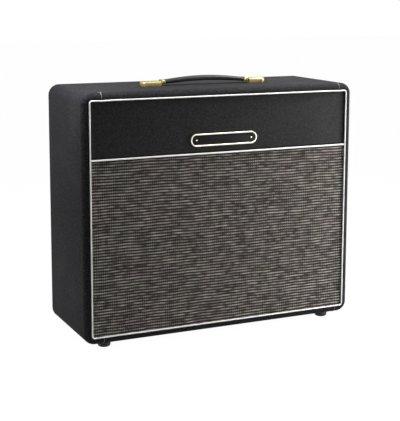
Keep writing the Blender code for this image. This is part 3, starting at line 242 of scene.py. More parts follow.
class Surface:
    """A material: a Principled shader and the nodes that feed it."""

    def __init__(self, name, colour, roughness, sheen=0.5, metallic=0.0, others=None):
        self.material = bpy.data.materials.new(name)
        self.material.use_nodes = True
        self.tree = self.material.node_tree
        self.shader = self.tree.nodes["Principled BSDF"]
        self.normal = None
        self.feed("Base Color", colour)
        self.feed("Roughness", roughness)
        self.feed("Metallic", metallic)
        self.feed("Specular IOR Level", sheen)
        for socket, value in (others or {}).items():
            self.feed(socket, value)
        self.place = self.add("TexCoord", {}, "Object")

    def feed(self, socket, value):
        join(self.tree, self.shader.inputs[socket], value)

    def add(self, kind, sockets, output=0, **settings):
        return shader_node(self.tree, kind, sockets, output, **settings)

    def stretched(self, *scale):
        return self.add("Mapping", {"Vector": self.place, "Scale": scale})

    def noise(self, scale, detail=3.0, place=None, output=0):
        sockets = {"Vector": place or self.place, "Scale": scale, "Detail": detail}
        return self.add("TexNoise", sockets, output)

    def cells(self, scale, place=None, output="Distance", feature="F1"):
        sockets = {"Vector": place or self.place, "Scale": scale}
        return self.add("TexVoronoi", sockets, output, feature=feature)

    def calc(self, operation, *values):
        return self.add("Math", dict(enumerate(values)), operation=operation)

    def times(self, one, other, plus=None):
        """One value times another, and perhaps a third added to the product."""
        if plus is None:
            return self.calc("MULTIPLY", one, other)
        return self.calc("MULTIPLY_ADD", one, other, plus)

    def swell(self, value, rate):
        """Rises from 0 to 1 and falls again as a value grows."""
        return self.times(self.calc("COSINE", self.times(value, rate)), -0.5, 0.5)

    def ramp(self, factor, *stops):
        """A colour or a grey that changes with a factor, through (place, value) stops."""
        made = self.tree.nodes.new("ShaderNodeValToRGB")
        join(self.tree, made.inputs["Fac"], factor)
        steps = made.color_ramp.elements
        while len(steps) < len(stops):
            steps.new(1.0)
        for step, (place, value) in zip(steps, stops):
            step.position = place
            step.color = rgba(value)
        return made.outputs["Color"]

    def tint(self, factor, *stops):
        self.feed("Base Color", self.ramp(factor, *stops))

    def wear(self, factor, *stops):
        self.feed("Roughness", self.ramp(factor, *stops))

    def tint_twice(self, share, base, other):
        """Colours the surface with a base, darkened by another colour to a share."""
        settings = {"data_type": "RGBA", "blend_type": "MULTIPLY"}
        self.feed("Base Color", self.add("Mix", {0: share, 6: base, 7: other}, 2, **settings))

    def bump(self, height, strength, distance):
        sockets = {"Height": height, "Strength": strength, "Distance": distance}
        if self.normal:
            sockets["Normal"] = self.normal
        self.normal = self.add("Bump", sockets)
        self.feed("Normal", self.normal)


def vinyl_surface(name, dark, light, sheen, relief):
    """Black cloth-backed vinyl with a pebble grain, with painted glints on its brightest pebbles and painted
    shade in the hollows between pebbles.
    """
    made = Surface(name, dark, 0.5, sheen)
    drift = made.noise(150, 2, output="Color")
    bent = made.add("VectorMath", {0: drift, "Scale": 0.0016}, operation="SCALE")
    grain = made.add("VectorMath", {0: made.place, 1: bent}, operation="ADD")
    pebbles = made.cells(PEBBLES, grain)
    pebble_tone_and_glints = made.cells(PEBBLES, grain, "Color")
    broad = made.noise(11, 4)
    fine = made.noise(2400, 2)
    # random tone per pebble; the ramp's top stop, 1.5 times the light colour, paints glints on the brightest
    # pebbles
    shade = made.times(pebble_tone_and_glints, 0.35, made.times(made.noise(230, 2), 0.65))
    base = made.ramp(shade, (0.3, dark), (0.66, light), (0.8, scaled(light, 1.5)))
    # painted shade: the colour is darkened to about a third in the hollows between pebbles
    made.tint_twice(1.0, base, made.ramp(pebbles, (0.35, 1.0), (0.75, 0.35)))
    made.wear(made.calc("ADD", broad, fine), (0.7, 0.5), (1.3, 0.66))
    made.bump(broad, 0.35, 0.0016)
    made.bump(pebbles, -0.75, relief)
    made.bump(fine, 0.25, 0.0001)
    return made.material


def cloth_surface():
    """Ribbed grille cloth: pale weft in dashes over a dark warp."""
    made = Surface("grille_weave", (0.1, 0.095, 0.09), 0.85, 0.2)
    axes = made.tree.nodes.new("ShaderNodeSeparateXYZ")
    join(made.tree, axes.inputs[0], made.place)
    x, z = axes.outputs["X"], axes.outputs["Z"]
    height = made.calc("SUBTRACT", z, GRILLE_LOW.z)
    for rise, across, up in WAVES:
        angle = made.times(x, across, made.times(z, up))
        height = made.times(made.calc("SINE", angle), rise, height)
    rib = made.calc("DIVIDE", height, RIB_PITCH)
    crest = made.swell(rib, 2 * math.pi)
    row = made.times(made.calc("FLOOR", rib), 0.37)
    dash = made.noise(56, 3, made.add("CombineXYZ", {"X": x, "Y": row}))
    dash = made.ramp(dash, (0.32, 0.42), (0.48, 0.78), (0.66, 1.0))
    thread = made.swell(x, 2 * math.pi / THREAD_PITCH)
    patch = made.ramp(made.noise(42, 3, made.stretched(1, 1, 3.0)), (0.42, 0.22), (0.6, 1.0))
    column = made.ramp(made.noise(110, 1, made.stretched(1, 1, 0.15)), (0.55, 0.0), (0.68, 1.0))
    notch = made.times(thread, made.calc("MAXIMUM", patch, made.times(column, 0.7)))
    gap = made.calc("SUBTRACT", 1.0, made.times(notch, 0.6))
    pale = made.times(made.times(made.calc("POWER", crest, 1.1), dash), gap)
    trough = made.times(made.calc("SUBTRACT", 1.0, crest), made.calc("SUBTRACT", 1.0, notch))
    pale = made.times(trough, 0.08, pale)
    pale = made.calc("ADD", pale, made.times(made.noise(900, 1), 0.1))
    colour = made.ramp(
        pale,
        (0.1, (0.0055, 0.0046, 0.004)),
        (0.4, (0.0445, 0.0395, 0.0354)),
        (0.78, (0.23, 0.213, 0.1965)),
        (1.0, (0.4, 0.377, 0.35)),
    )
    hue = ((0.36, (1.0, 0.94, 1.0)), (0.5, 1.0), (0.64, (0.98, 1.0, 0.95)))
    made.tint_twice(1.0, colour, made.ramp(made.noise(17, 1), *hue))
    made.bump(thread, 0.3, 0.00025)
    made.bump(made.noise(1500, 1), 0.35, 0.00015)
    return made.material


def bead_surface():
    """Off-white vinyl piping, a little soiled."""
    clean = (0.74, 0.735, 0.73)
    made = Surface("white_vinyl", clean, 0.5, 0.2)
    made.tint(made.noise(60, 4), (0.3, (0.62, 0.61, 0.59)), (0.55, clean))
    made.wear(made.noise(300, 2), (0.3, 0.45), (0.7, 0.6))
    made.bump(made.noise(420, 3), 0.25, 0.0003)
    return made.material


def metal_surface(name, colour, roughness, scratches=0.15, brushed=None):
    """Plated or bare metal with fine scratches, or a brushed grain along the axes stretched."""
    edge = tuple(0.5 + 0.5 * part for part in colour)
    made = Surface(name, colour, roughness, metallic=1.0, others={"Specular Tint": edge})
    fine = made.noise(900, 4, made.stretched(*brushed) if brushed else None)
    broad = made.noise(35, 3)
    made.tint(broad, (0.3, scaled(colour, 0.82)), (0.65, colour))
    worn = made.calc("ADD", fine, broad)
    made.wear(worn, (0.7, 0.75 * roughness), (1.3, min(1.0, 1.35 * roughness)))
    made.bump(fine, scratches, 0.00012)
    return made.material


def strap_surface():
    """The handle's moulded black strap, with a leather grain."""
    made = Surface("strap_rubber", (0.01, 0.01, 0.0105), 0.45, 0.14)
    creases = made.cells(420, made.stretched(0.6, 1, 1))
    rubbed = made.noise(30, 3)
    made.tint(rubbed, (0.35, (0.0075, 0.0075, 0.008)), (0.7, (0.015, 0.015, 0.0158)))
    made.wear(rubbed, (0.3, 0.38), (0.7, 0.52))
    made.bump(creases, -0.35, 0.0004)
    made.bump(made.noise(1800, 2), 0.2, 0.0001)
    return made.material


def moulded_surface(name, dark, light, roughness, grain=0.2, sheen=0.4):
    """Rubber, phenolic or paint, with faint flow marks and dust."""
    made = Surface(name, dark, roughness, sheen)
    made.tint(made.noise(45, 4), (0.3, dark), (0.72, light))
    made.wear(made.noise(140, 3), (0.3, 0.85 * roughness), (0.7, 1.15 * roughness))
    made.bump(made.noise(1300, 3), grain, 0.0002)
    return made.material


def plywood_surface(name, dark, light):
    """Sanded birch ply: long grain on its faces and thin layers on its edges."""
    made = Surface(name, light, 0.62, 0.3)
    grain = made.noise(36, 6, made.stretched(0.35, 1, 4.0))
    rings = made.noise(9, 3, made.stretched(0.5, 1, 3.0))
    fibres = made.noise(900, 2, made.stretched(0.04, 1, 1))
    figure = made.times(rings, 0.6, made.times(grain, 0.4))
    base = made.ramp(figure, (0.36, dark), (0.5, light), (0.62, scaled(light, 0.9)))
    made.tint_twice(0.35, base, made.ramp(fibres, (0.3, dark), (0.7, light)))
    made.wear(grain, (0.3, 0.55), (0.7, 0.72))
    made.bump(fibres, 0.25, 0.0002)
    made.bump(grain, 0.2, 0.0004)
    return made.material


def paint_surface(name, dark, light, roughness):
    """Hammered enamel over pressed steel."""
    made = Surface(name, light, roughness, metallic=0.35)
    dimples = made.cells(330, feature="SMOOTH_F1")
    made.tint(dimples, (0.1, light), (0.6, dark))
    made.wear(made.noise(70, 3), (0.3, 0.8 * roughness), (0.7, 1.2 * roughness))
    made.bump(dimples, 0.4, 0.0004)
    return made.material


def paper_surface(name, dark, light, roughness=0.9):
    """Felted paper or doped cloth, with short fibres."""
    made = Surface(name, light, roughness, 0.2)
    fibres = made.noise(1100, 4)
    shade = made.times(made.calc("ADD", fibres, made.noise(60, 3)), 0.5)
    made.tint(shade, (0.35, dark), (0.62, light))
    made.bump(fibres, 0.5, 0.0003)
    return made.material


def glass_surface():
    clear = {"IOR": 1.47, "Transmission Weight": 1.0}
    made = Surface("clear_glass", (0.97, 0.99, 0.98), 0.02, others=clear)
    made.wear(made.noise(50, 3), (0.4, 0.01), (0.75, 0.07))
    return made.material


def jewel_surface():
    cut = {"IOR": 1.5, "Coat Weight": 0.6}
    made = Surface("red_jewel", (0.62, 0.02, 0.012), 0.06, others=cut)
    depth = made.noise(400, 2)
    made.tint(depth, (0.35, (0.36, 0.008, 0.006)), (0.65, (0.72, 0.03, 0.018)))
    made.bump(depth, 0.1, 0.0003)
    return made.material


VINYL = vinyl_surface("black_vinyl", (0.0125, 0.0122, 0.013), (0.0295, 0.0289, 0.0312), 0.011, 0.0006)
FASCIA_VINYL = vinyl_surface("fascia_vinyl", (0.0068, 0.0066, 0.0074), (0.0208, 0.0204, 0.0231), 0.09, 0.0009)
# painted highlight: the seam ridges are coloured far lighter than the vinyl, so they read as light lines
SEAM_HIGHLIGHT = moulded_surface("vinyl_seam_highlight", (0.075, 0.07, 0.064), (0.2, 0.188, 0.172), 0.7, 0.2, 0.1)
CLOTH = cloth_surface()
WHITE = bead_surface()
GOLD = metal_surface("gold_plate", (0.42, 0.35, 0.145), 0.24)
PALE_GOLD = metal_surface("pale_gold", (0.72, 0.69, 0.57), 0.28)
PANEL_GOLD = metal_surface("brushed_gold", (0.66, 0.52, 0.25), 0.34, 0.3, (0.03, 1, 1))
ZINC = metal_surface("zinc_plate", (0.56, 0.57, 0.56), 0.38, 0.25)
NICKEL = metal_surface("nickel_plate", (0.74, 0.73, 0.71), 0.2)
DARK_STEEL = metal_surface("laminations", (0.16, 0.155, 0.15), 0.5, 0.4, (0.02, 1, 1))
COPPER = metal_surface("copper_wire", (0.6, 0.28, 0.12), 0.35, 0.3, (1, 40, 1))
STRAP = strap_surface()
RUBBER = moulded_surface("black_rubber", 0.01, (0.026, 0.026, 0.025), 0.75, 0.35)
PLASTIC = moulded_surface("black_phenolic", 0.012, (0.022, 0.022, 0.023), 0.28, 0.08)
ENAMEL = moulded_surface("black_enamel", 0.006, (0.009, 0.009, 0.01), 0.42, 0.03, 0.1)
INK = moulded_surface("black_ink", (0.012, 0.011, 0.01), (0.02, 0.019, 0.017), 0.6, 0.1)
IVORY = moulded_surface("ivory_paint", (0.7, 0.68, 0.62), (0.78, 0.76, 0.7), 0.5, 0.1)
PLYWOOD = plywood_surface("birch_ply", (0.33, 0.21, 0.11), (0.56, 0.42, 0.26))
BAFFLE_PLY = plywood_surface("stained_ply", (0.035, 0.026, 0.018), (0.075, 0.058, 0.042))
BASKET_PAINT = paint_surface("hammered_grey", (0.13, 0.135, 0.14), (0.25, 0.26, 0.27), 0.42)
BELL_PAINT = paint_surface("black_paint", 0.012, 0.03, 0.4)
FERRITE = moulded_surface("ferrite", (0.035, 0.035, 0.036), (0.065, 0.064, 0.062), 0.6, 0.4)
PAPER = paper_surface("grey_paper", (0.04, 0.04, 0.042), (0.085, 0.085, 0.088))
DOPED = paper_surface("doped_cloth", (0.1, 0.065, 0.032), (0.22, 0.15, 0.08), 0.7)
CERAMIC = paper_surface("socket_ceramic", (0.5, 0.48, 0.43), (0.68, 0.66, 0.61), 0.5)
FELT = paper_surface("plate_grey", (0.045, 0.045, 0.046), 0.1, 0.6)
GLASS = glass_surface()
JEWEL = jewel_surface()
FINISHES = (  # of the CAD nodes whose shapes are kept
    (PLYWOOD, ("left_board", "right_board", "top_board", "bottom_board")),
    (BAFFLE_PLY, ("baffle_board",)),
    (ZINC, ("chassis", "connector_panel")),
    (PANEL_GOLD, ("control_panel",)),
    (COPPER, ("voice_coil",)),
)


def mesh_of(shape, name):
    """A mesh from a bmesh, which is freed."""
    mesh = bpy.data.meshes.new(name)
    shape.to_mesh(mesh)
    shape.free()
    return mesh


def in_scene(name, data):
    made = bpy.data.objects.new(name, data)
    bpy.context.scene.collection.objects.link(made)
    return made


def add(name, shape, surface, slot, node=None, body="cabinet", sharp=35):
    """A piece of the scene from a bmesh, riding on a body and standing for a CAD node."""
    bmesh.ops.recalc_face_normals(shape, faces=shape.faces)
    mesh = mesh_of(shape, name)
    mesh.shade_smooth()
    mesh.set_sharp_from_angle(angle=math.radians(sharp))
    mesh.materials.append(surface)
    made = in_scene(name, mesh)
    if body:
        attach(made, body)
    if node:
        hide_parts(node)
    return made


def loft(rings, closed=False):
    """A solid through rings of equal count, capped at both ends or joined end to start."""
    shape = bmesh.new()
    rows = [[shape.verts.new(point) for point in ring] for ring in rings]
    pairs = list(zip(rows, rows[1:]))
    if closed:
        pairs.append((rows[-1], rows[0]))
    for one, other in pairs:
        for i in range(len(one)):
            j = (i + 1) % len(one)
            shape.faces.new((one[i], one[j], other[j], other[i]))
    if not closed:
        shape.faces.new(rows[0][::-1])
        shape.faces.new(rows[-1])
    return shape


def block(low, high):
    corners = ((low[0], low[1]), (high[0], low[1]), (high[0], high[1]), (low[0], high[1]))
    return loft([[(x, y, z) for x, y in corners] for z in (low[2], high[2])])


def turned(profile, steps=32, ring=False, ripple=None):
    """Turns (radius, height) points about Z. A ripple scales a point's radius by its angle."""
    rings = []
    for point in profile:
        points = []
        for i in range(steps):
            angle = 2 * math.pi * i / steps
            reach = point[0] * ripple(point, angle) if ripple else point[0]
            points.append((reach * math.cos(angle), reach * math.sin(angle), point[1]))
        rings.append(points)
    return loft(rings, ring)


def rounded(profile, bend=0.0004, steps=ARC_STEPS):
    """A profile whose inner corners are eased by short arcs, no wider than a third of each side."""
    eased = [profile[0]]
    for before, corner, after in zip(profile, profile[1:], profile[2:]):
        here = Vector(corner)
        to_before, to_after = Vector(before) - here, Vector(after) - here
        reach = min(bend, to_before.length / 3, to_after.length / 3)
        start = here + to_before.normalized() * reach
        end = here + to_after.normalized() * reach
        for i in range(steps + 1):
            share = i / steps
            eased.append(tuple(start.lerp(here, share).lerp(here.lerp(end, share), share)))
    return eased + [profile[-1]]


def rounded_rectangle(half_width, half_height, radius, steps):
    """Points (u, v) round a rectangle with round corners, anticlockwise."""
    points = []
    for quarter, (su, sv) in enumerate(((1, 1), (-1, 1), (-1, -1), (1, -1))):
        for i in range(steps + 1):
            angle = (quarter + i / steps) * QUARTER
            u = su * (half_width - radius) + radius * math.cos(angle)
            v = sv * (half_height - radius) + radius * math.sin(angle)
            points.append((u, v))
    return points


def standing(centre, half_width, half_height, radius, steps, y):
    """A rounded rectangle that stands at a depth y, round an (x, z) centre."""
    outline = rounded_rectangle(half_width, half_height, radius, steps)
    return [(centre[0] + u, y, centre[1] + v) for u, v in outline]


def together(shapes):
    """One bmesh of several."""
    whole = bmesh.new()
    for shape in shapes:
        mesh = mesh_of(shape, "loose")
        whole.from_mesh(mesh)
        bpy.data.meshes.remove(mesh)
    return whole


def moved(shape, x=0.0, y=0.0, z=0.0):
    bmesh.ops.translate(shape, verts=shape.verts, vec=(x, y, z))
    return shape


def rotated(shape, degrees, axis):
    turn = Matrix.Rotation(math.radians(degrees), 3, axis)
    bmesh.ops.rotate(shape, verts=shape.verts, cent=(0, 0, 0), matrix=turn)
    return shape


def backwards(shape, place):
    """Lays a shape made along +Z down, so that it points out of the back from a place."""
    return moved(rotated(shape, -90, "X"), *place)


def carved(shape, tool):
    """One closed shape less another, by the exact solver."""
    objects = []
    for one in (shape, tool):
        bmesh.ops.recalc_face_normals(one, faces=one.faces)
        objects.append(in_scene("carving", mesh_of(one, "carving")))
    step = objects[0].modifiers.new("cut", "BOOLEAN")
    step.operation = "DIFFERENCE"
    step.solver = "EXACT"
    step.object = objects[1]
    result = bmesh.new()
    result.from_object(objects[0], bpy.context.evaluated_depsgraph_get())
    for made in objects:
        mesh = made.data
        bpy.data.objects.remove(made)
        bpy.data.meshes.remove(mesh)
    return result


def swept(path, section, up, closed=False):
    """A section of (sideways, up) points carried along a path whose direction never meets up."""
    rings = []
    count = len(path)
    points = [Vector(point) for point in path]
    for i, point in enumerate(points):
        if closed:
            along = points[(i + 1) % count] - points[i - 1]
        else:
            along = points[min(i + 1, count - 1)] - points[max(i - 1, 0)]
        side = along.cross(Vector(up)).normalized()
        rise = side.cross(along).normalized()
        rings.append([point + u * side + v * rise for u, v in section])
    return loft(rings, closed)


def tube(path, radius, up, sides=8):
    """A round bar along a path whose direction never meets up."""
    angles = [2 * math.pi * k / sides for k in range(sides)]
    return swept(path, [(radius * math.cos(angle), radius * math.sin(angle)) for angle in angles], up)


def bead_section(radius, reach):
    """A round bead and the flap behind it that holds it."""
    points = [(FLANGE_HALF, reach), (-FLANGE_HALF, reach)]
    start = QUARTER + math.asin(FLANGE_HALF / radius)
    span = 2 * math.pi - 2 * math.asin(FLANGE_HALF / radius)
    for k in range(PIPING_SIDES + 1):
        angle = start + span * k / PIPING_SIDES
        points.append((radius * math.cos(angle), radius * math.sin(angle)))
    return points


def slab(low, high, corner, edge, hole=None):
    """An upright board with round corners and eased edges, and perhaps a rounded hole in it.

    A hole is its (x, z) centre, half width, half height and corner radius.
    """
    centre = ((low[0] + high[0]) / 2, (low[2] + high[2]) / 2)
    width, height = (high[0] - low[0]) / 2, (high[2] - low[2]) / 2
    sections = []
    for i in range(EASING_STEPS + 1):
        angle = QUARTER * i / EASING_STEPS
        sections.append((edge * (1 - math.sin(angle)), low[1] + edge * (1 - math.cos(angle))))
    sections += [(inset, low[1] + high[1] - y) for inset, y in sections[::-1]]
    rings = []
    for inset, y in sections:
        radius = max(corner - inset, edge / 4)
        rings.append(standing(centre, width - inset, height - inset, radius, 6, y))
    if not hole:
        return loft(rings)
    centre, width, height, radius = hole
    for inset, y in sections[::-1]:
        rings.append(standing(centre, width + inset, height + inset, radius + inset, 6, y))
    return loft(rings, True)


def bar(centre, width, height, sections, steps, side=1):
    """A bar along X from a centre, through (distance, inset, corner radius) sections."""
    rings = []
    for along, inset, radius in sections:
        outline = rounded_rectangle(width / 2 - inset, height / 2 - inset, radius, steps)
        rings.append([(centre.x + side * along, centre.y + u, centre.z + v) for u, v in outline])
    return loft(rings)


def slotted_head(radius, height, slot):
    """A domed screw head along +Z whose slot runs along X, on a thin disc."""
    steps = 10
    halves = [turned([(radius, 0), (radius, 0.35 * height)], 2 * steps)]
    for side in (-1, 1):
        rings = []
        for level in (0.3, 0.55, 0.8, 1.0):
            reach = radius * math.sqrt(max(0.0, 1 - (0.8 * level) ** 2))
            start = math.asin(min(1.0, slot / 2 / reach))
            angles = [start + (math.pi - 2 * start) * i / steps for i in range(steps + 1)]
            rings.append([(reach * math.cos(a), side * reach * math.sin(a), level * height) for a in angles])
        halves.append(loft(rings))
    return together(halves)


def hexagon_nut(radius, height, bore):
    """A chamfered nut along +Z with a round bore."""
    sixth = math.pi / 3

    def six_sided(point, angle):
        return 1 / math.cos(angle % sixth - sixth / 2) if point[0] > bore else 1.0

    flats = radius * math.cos(sixth / 2)
    profile = [(0.97 * flats, 0), (flats, 0.0003), (flats, height - 0.0005), (0.95 * flats, height)]
    return turned(profile + [(bore, height), (bore, 0)], 48, True, six_sided)


def box_outline(inset, y):
    """The box's rounded section at a depth, this far inside its outer surface."""
    tightening = (CORNER_RADIUS - MOUTH_CORNER) / WALL
    radius = max(CORNER_RADIUS - inset * tightening, LEAST_CORNER)
    return standing((0, BOX_MIDDLE), WIDTH / 2 - inset, BOX_HEIGHT / 2 - inset, radius, CORNER_STEPS, y)


def roundover(inset, at_rear):
    """(inset, y) points of the rounded edge, this far inside the covering, from face to side."""
    points = []
    for i in range(EDGE_STEPS + 1):
        angle = QUARTER * i / EDGE_STEPS
        across = EDGE_RADIUS - (EDGE_RADIUS - inset) * math.sin(angle)
        back = EDGE_RADIUS - (EDGE_RADIUS - inset) * math.cos(angle)
        points.append((across, Y_REAR - back if at_rear else Y_FRONT + back))
    return points


def make_covering():
    lip_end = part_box("lower_back_panel")[0].y
    skins = []
    for depth in (0, COVER):
        skin = [(WALL, Y_FRONT + depth)] + roundover(depth, False) + roundover(depth, True)[::-1]
        lip = WALL + FIT + COVER - depth
        skins.append(skin + [(lip, Y_REAR - depth), (lip, lip_end)])
    rings = [box_outline(inset, y) for inset, y in skins[0] + skins[1][::-1]]
    add("covering", loft(rings, True), VINYL, "black_vinyl", "vinyl_covering")


def make_seams():
    """Thin forked ridges where the vinyl is cut and folded over the front's long edges."""
    edge = roundover(0, False)
    fork = round(SEAM_FORK * EDGE_STEPS)
    strips = []
    for rises, height in ((1, Z_TOP), (-1, SHELL_LOW.z)):
        points = [(y, height - rises * inset) for inset, y in edge]
        for x in SEAM_PLACES:
            strips.append(tube([(x, y, z) for y, z in points[1 : fork + 1]], SEAM_RADIUS, (1, 0, 0)))
            for side in (-1, 1):
                arm = []
                for i, (y, z) in enumerate(points[fork:]):
                    share = i / (EDGE_STEPS - fork)
                    arm.append((x + side * SEAM_SPREAD * share**1.3, y, z))
                strips.append(tube(arm, 0.7 * SEAM_RADIUS, (1, 0, 0)))
    add("vinyl_seams", together(strips), SEAM_HIGHLIGHT, "black_vinyl")


def make_fascia():
    fascia = slab(*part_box("fascia_panel"), 0.004, 0.0026)
    add("fascia", fascia, FASCIA_VINYL, "black_vinyl", "fascia_panel")


def make_grille():
    low, high = GRILLE_LOW, GRILLE_HIGH
    levels = RIB_COUNT * RIB_STEPS
    rings = []
    for column in range(GRILLE_COLUMNS + 1):
        x = low.x + (high.x - low.x) * column / GRILLE_COLUMNS
        ring = []
        for level in range(levels + 1):
            z = low.z + GRILLE_HEIGHT * level / levels
            slack = sum(rise * math.sin(across * x + up * z) for rise, across, up in WAVES)
            crest = 0.5 - 0.5 * math.cos(2 * math.pi * (z - low.z + slack) / RIB_PITCH)
            flat = min(1.0, min(x - low.x, high.x - x, z - low.z, high.z - z) / GRILLE_RIM)
            drift = 0.0003 * noise.noise(Vector((9 * x, 0.5, 9 * z)))
            y = low.y + RIB_DEPTH * (1 - crest) - 0.0002 + drift * flat + 0.0006 * (1 - flat) ** 2
            ring.append((x, y, z))
        ring += [(x, high.y, low.z + GRILLE_HEIGHT * level / 4) for level in range(4, -1, -1)]
        rings.append(ring)
    grille = add("grille", loft(rings), CLOTH, "grille_cloth", "grille_cloth", sharp=75)


def make_piping():
    low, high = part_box("piping_frame")
    inset = (high.y - low.y) / 2
    half_width, half_height = high.x - inset, (high.z - low.z) / 2 - inset
    corners = rounded_rectangle(half_width, half_height, PIPING_CORNER, 8)
    y = low.y + BEAD_RADIUS
    path = []
    for one, other in zip(corners, corners[1:] + corners[:1]):
        start, end = Vector(one), Vector(other)
        parts = max(1, round((end - start).length / PIPING_SPACING))
        for i in range(parts):
            u, v = start.lerp(end, i / parts)
            inwards = PIPING_WOBBLE * noise.noise(Vector((30 * u, 30 * v, 2.5)))
            out = PIPING_WOBBLE * noise.noise(Vector((25 * u, 25 * v, 7.5)))
            if v > 0:
                inwards += sum(dip * math.exp(-(((u - at) / width) ** 2)) for at, dip, width in SEAM_DIPS)
            shrink = 1 - max(0.0, inwards) / half_height
            path.append((u, y + max(0.0, out), BOX_MIDDLE + v * shrink))
    bead = swept(path, bead_section(BEAD_RADIUS, high.y - y - PIPING_WOBBLE), (0, 1, 0), True)
    add("piping_bead", bead, WHITE, "white_piping", "piping_frame")
    low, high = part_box("piping_divider")
    steps = round((high.x - low.x) / PIPING_SPACING)
    y = low.y + DIVIDER_RADIUS
    path = []
    for i in range(steps + 1):
        x = low.x + (high.x - low.x) * i / steps
        rise = 0.5 * PIPING_WOBBLE * noise.noise(Vector((30 * x, 4.5, 0)))
        path.append((x, y, (low.z + high.z) / 2 + rise))
    divider = swept(path, bead_section(DIVIDER_RADIUS, high.y - y), (0, 1, 0))
    add("divider_bead", divider, WHITE, "white_piping", "piping_divider")


def make_badge():
    """A blank name plate: a pale metal rim round a dark enamelled field."""
    low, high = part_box("badge_plate")
    half_width, half_height = (high.x - low.x) / 2, (high.z - low.z) / 2
    centre, depth = centre_of("badge_plate"), high.y - low.y

    def outline(inset, out):
        radius = half_height - inset
        return standing(centre, half_width - inset, radius, radius, 12, high.y - out)

    rim = [(0, 0), (0, 0.8 * depth), (0.0007, depth), (0.0024, depth), (0.0031, 0.55 * depth), (0.0031, 0)]
    rings = [outline(*section) for section in rounded(rim, 0.0003)]
    add("badge_rim", loft(rings, True), PALE_GOLD, "gold_metal", "badge_plate")
    field = [outline(0.0028, 0), outline(0.0028, 0.4 * depth), outline(0.0036, 0.5 * depth)]
    add("badge_field", loft(field), ENAMEL, "gold_metal")
    pins = []
    for side in (-1, 1):
        pin = turned(rounded([(0.0016, 0), (0.0016, 0.0007), (0.0009, 0.0011)]), 20)
        x = centre[0] + side * (half_width - half_height)
        pins.append(moved(rotated(pin, 90, "X"), x, high.y - 0.5 * depth, centre[1]))
    add("badge_pins", together(pins), PALE_GOLD, "gold_metal")


def make_feet():
    screws = []
    for name in nodes_with("foot_"):
        low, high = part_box(name)
        x, y = centre_of(name, 1)
        radius, top = (high.x - low.x) / 2, high.z
        profile = [(0.0045, 0.006), (0.0045, 0), (0.0098, 0), (0.93 * radius, 0.14 * top)]
        profile += [(radius, 0.4 * top), (radius, 0.8 * top), (0.97 * radius, top), (0.3 * radius, top)]
        foot = turned(rounded(profile, 0.0012), 40)
        add("rubber_" + name, moved(foot, x, y), RUBBER, "black_rubber", name)
        washer = turned([(0.0022, 0.0055), (0.0042, 0.0055), (0.0042, 0.0049), (0.0022, 0.0049)], 24, True)
        head = rotated(slotted_head(0.0034, 0.0018, 0.0008), 180, "X")
        screws += [moved(washer, x, y), moved(head, x, y, 0.0049)]
    add("foot_screws", together(screws), NICKEL, "black_rubber")


def cap_outline(low, high, side, inset, z):
    """A handle cap's plan: square at its mouth and round at its outer end."""
    half = (high.y - low.y) / 2 - inset
    middle = (high.y + low.y) / 2
    end_radius = (high.y - low.y) / 2.4
    mouth = low.x if side > 0 else high.x
    points = [(mouth + side * inset, middle - half, z)]
    for i in range(CAP_STEPS + 1):
        angle = -QUARTER + i * 2 * QUARTER / CAP_STEPS
        x = mouth + side * (high.x - low.x - end_radius + (end_radius - inset) * math.cos(angle))
        points.append((x, middle + half * math.sin(angle), z))
    return points + [(mouth + side * inset, middle + half, z)]


def make_caps():
    screws = []
    for side, name in SIDES:
        low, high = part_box("handle_cap_" + name)
        mouth = low.x if side > 0 else high.x
        middle, height = (high.y + low.y) / 2, (low.z + high.z) / 2
        sections = [(0, low.z), (0, low.z + 0.45 * (high.z - low.z))]
        for i in range(6):
            angle = QUARTER * (i + 1) / 6
            z = high.z - CAP_SOFTNESS * (1 - math.sin(angle))
            sections.append((CAP_SOFTNESS * (1 - math.cos(angle)), z))
        cap = loft([cap_outline(low, high, side, inset, z) for inset, z in sections])
        ends = sorted((mouth - side * 0.002, mouth + side * 0.033))
        wide, tall = TONGUE_SIZE[0] / 2 + 0.0011, TONGUE_SIZE[1] / 2 + 0.0005
        pocket = block((ends[0], middle - wide, height - tall), (ends[1], middle + wide, height + tall))
        well_x = mouth + side * 0.0305
        well = turned([(0.0041, high.z - 0.0009), (0.0041, high.z + 0.003)])
        cap = carved(carved(cap, pocket), moved(well, well_x, middle))
        add("gold_cap_" + name, cap, GOLD, "gold_metal", "handle_cap_" + name)
        head = rotated(slotted_head(0.0034, 0.0016, 0.0008), 35 * side, "Z")
        screws.append(moved(head, well_x, middle, high.z - 0.0012))
    add("cap_screws", together(screws), GOLD, "gold_metal")


def handle_section(side, x, outline, z, lean):
    """A section across the handle, leaning outwards as it rises."""
    return [(side * (x + lean * (v + z)), HANDLE_Y + u, TONGUE_Z + v + z) for u, v in outline]


def make_ferrules():
    sections = (
        (FERRULE_INNER, 0.0005, 1.0),
        (FERRULE_INNER + 0.0004, 0.0, 1.0),
        (FERRULE_INNER + 0.0018, 0.0, 0.8),
        (FERRULE_INNER + 0.0022, 0.0004, 0.7),
        (FERRULE_OUTER - 0.0022, 0.0004, 0.2),
        (FERRULE_OUTER - 0.0018, 0.0, 0.1),
        (FERRULE_OUTER - 0.0006, 0.0, 0.0),
        (FERRULE_OUTER, 0.0007, 0.0),
    )
    tongue = rounded_rectangle(TONGUE_SIZE[0] / 2, TONGUE_SIZE[1] / 2, 0.0006, 5)
    for side, name in SIDES:
        node = "handle_ferrule_" + name
        low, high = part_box(node)
        half_width = (high.y - low.y) / 2
        rings = []
        for x, inset, lean in sections:
            outline = rounded_rectangle(half_width - inset, FERRULE_HEIGHT / 2 - inset, 0.002, 5)
            rings.append(handle_section(side, x, outline, FERRULE_RISE, lean * LEAN))
        rings += [handle_section(side, x, tongue, 0, 0) for x in (FERRULE_OUTER, TONGUE_END)]
        add("gold_ferrule_" + name, loft(rings), GOLD, "gold_metal", node, node)


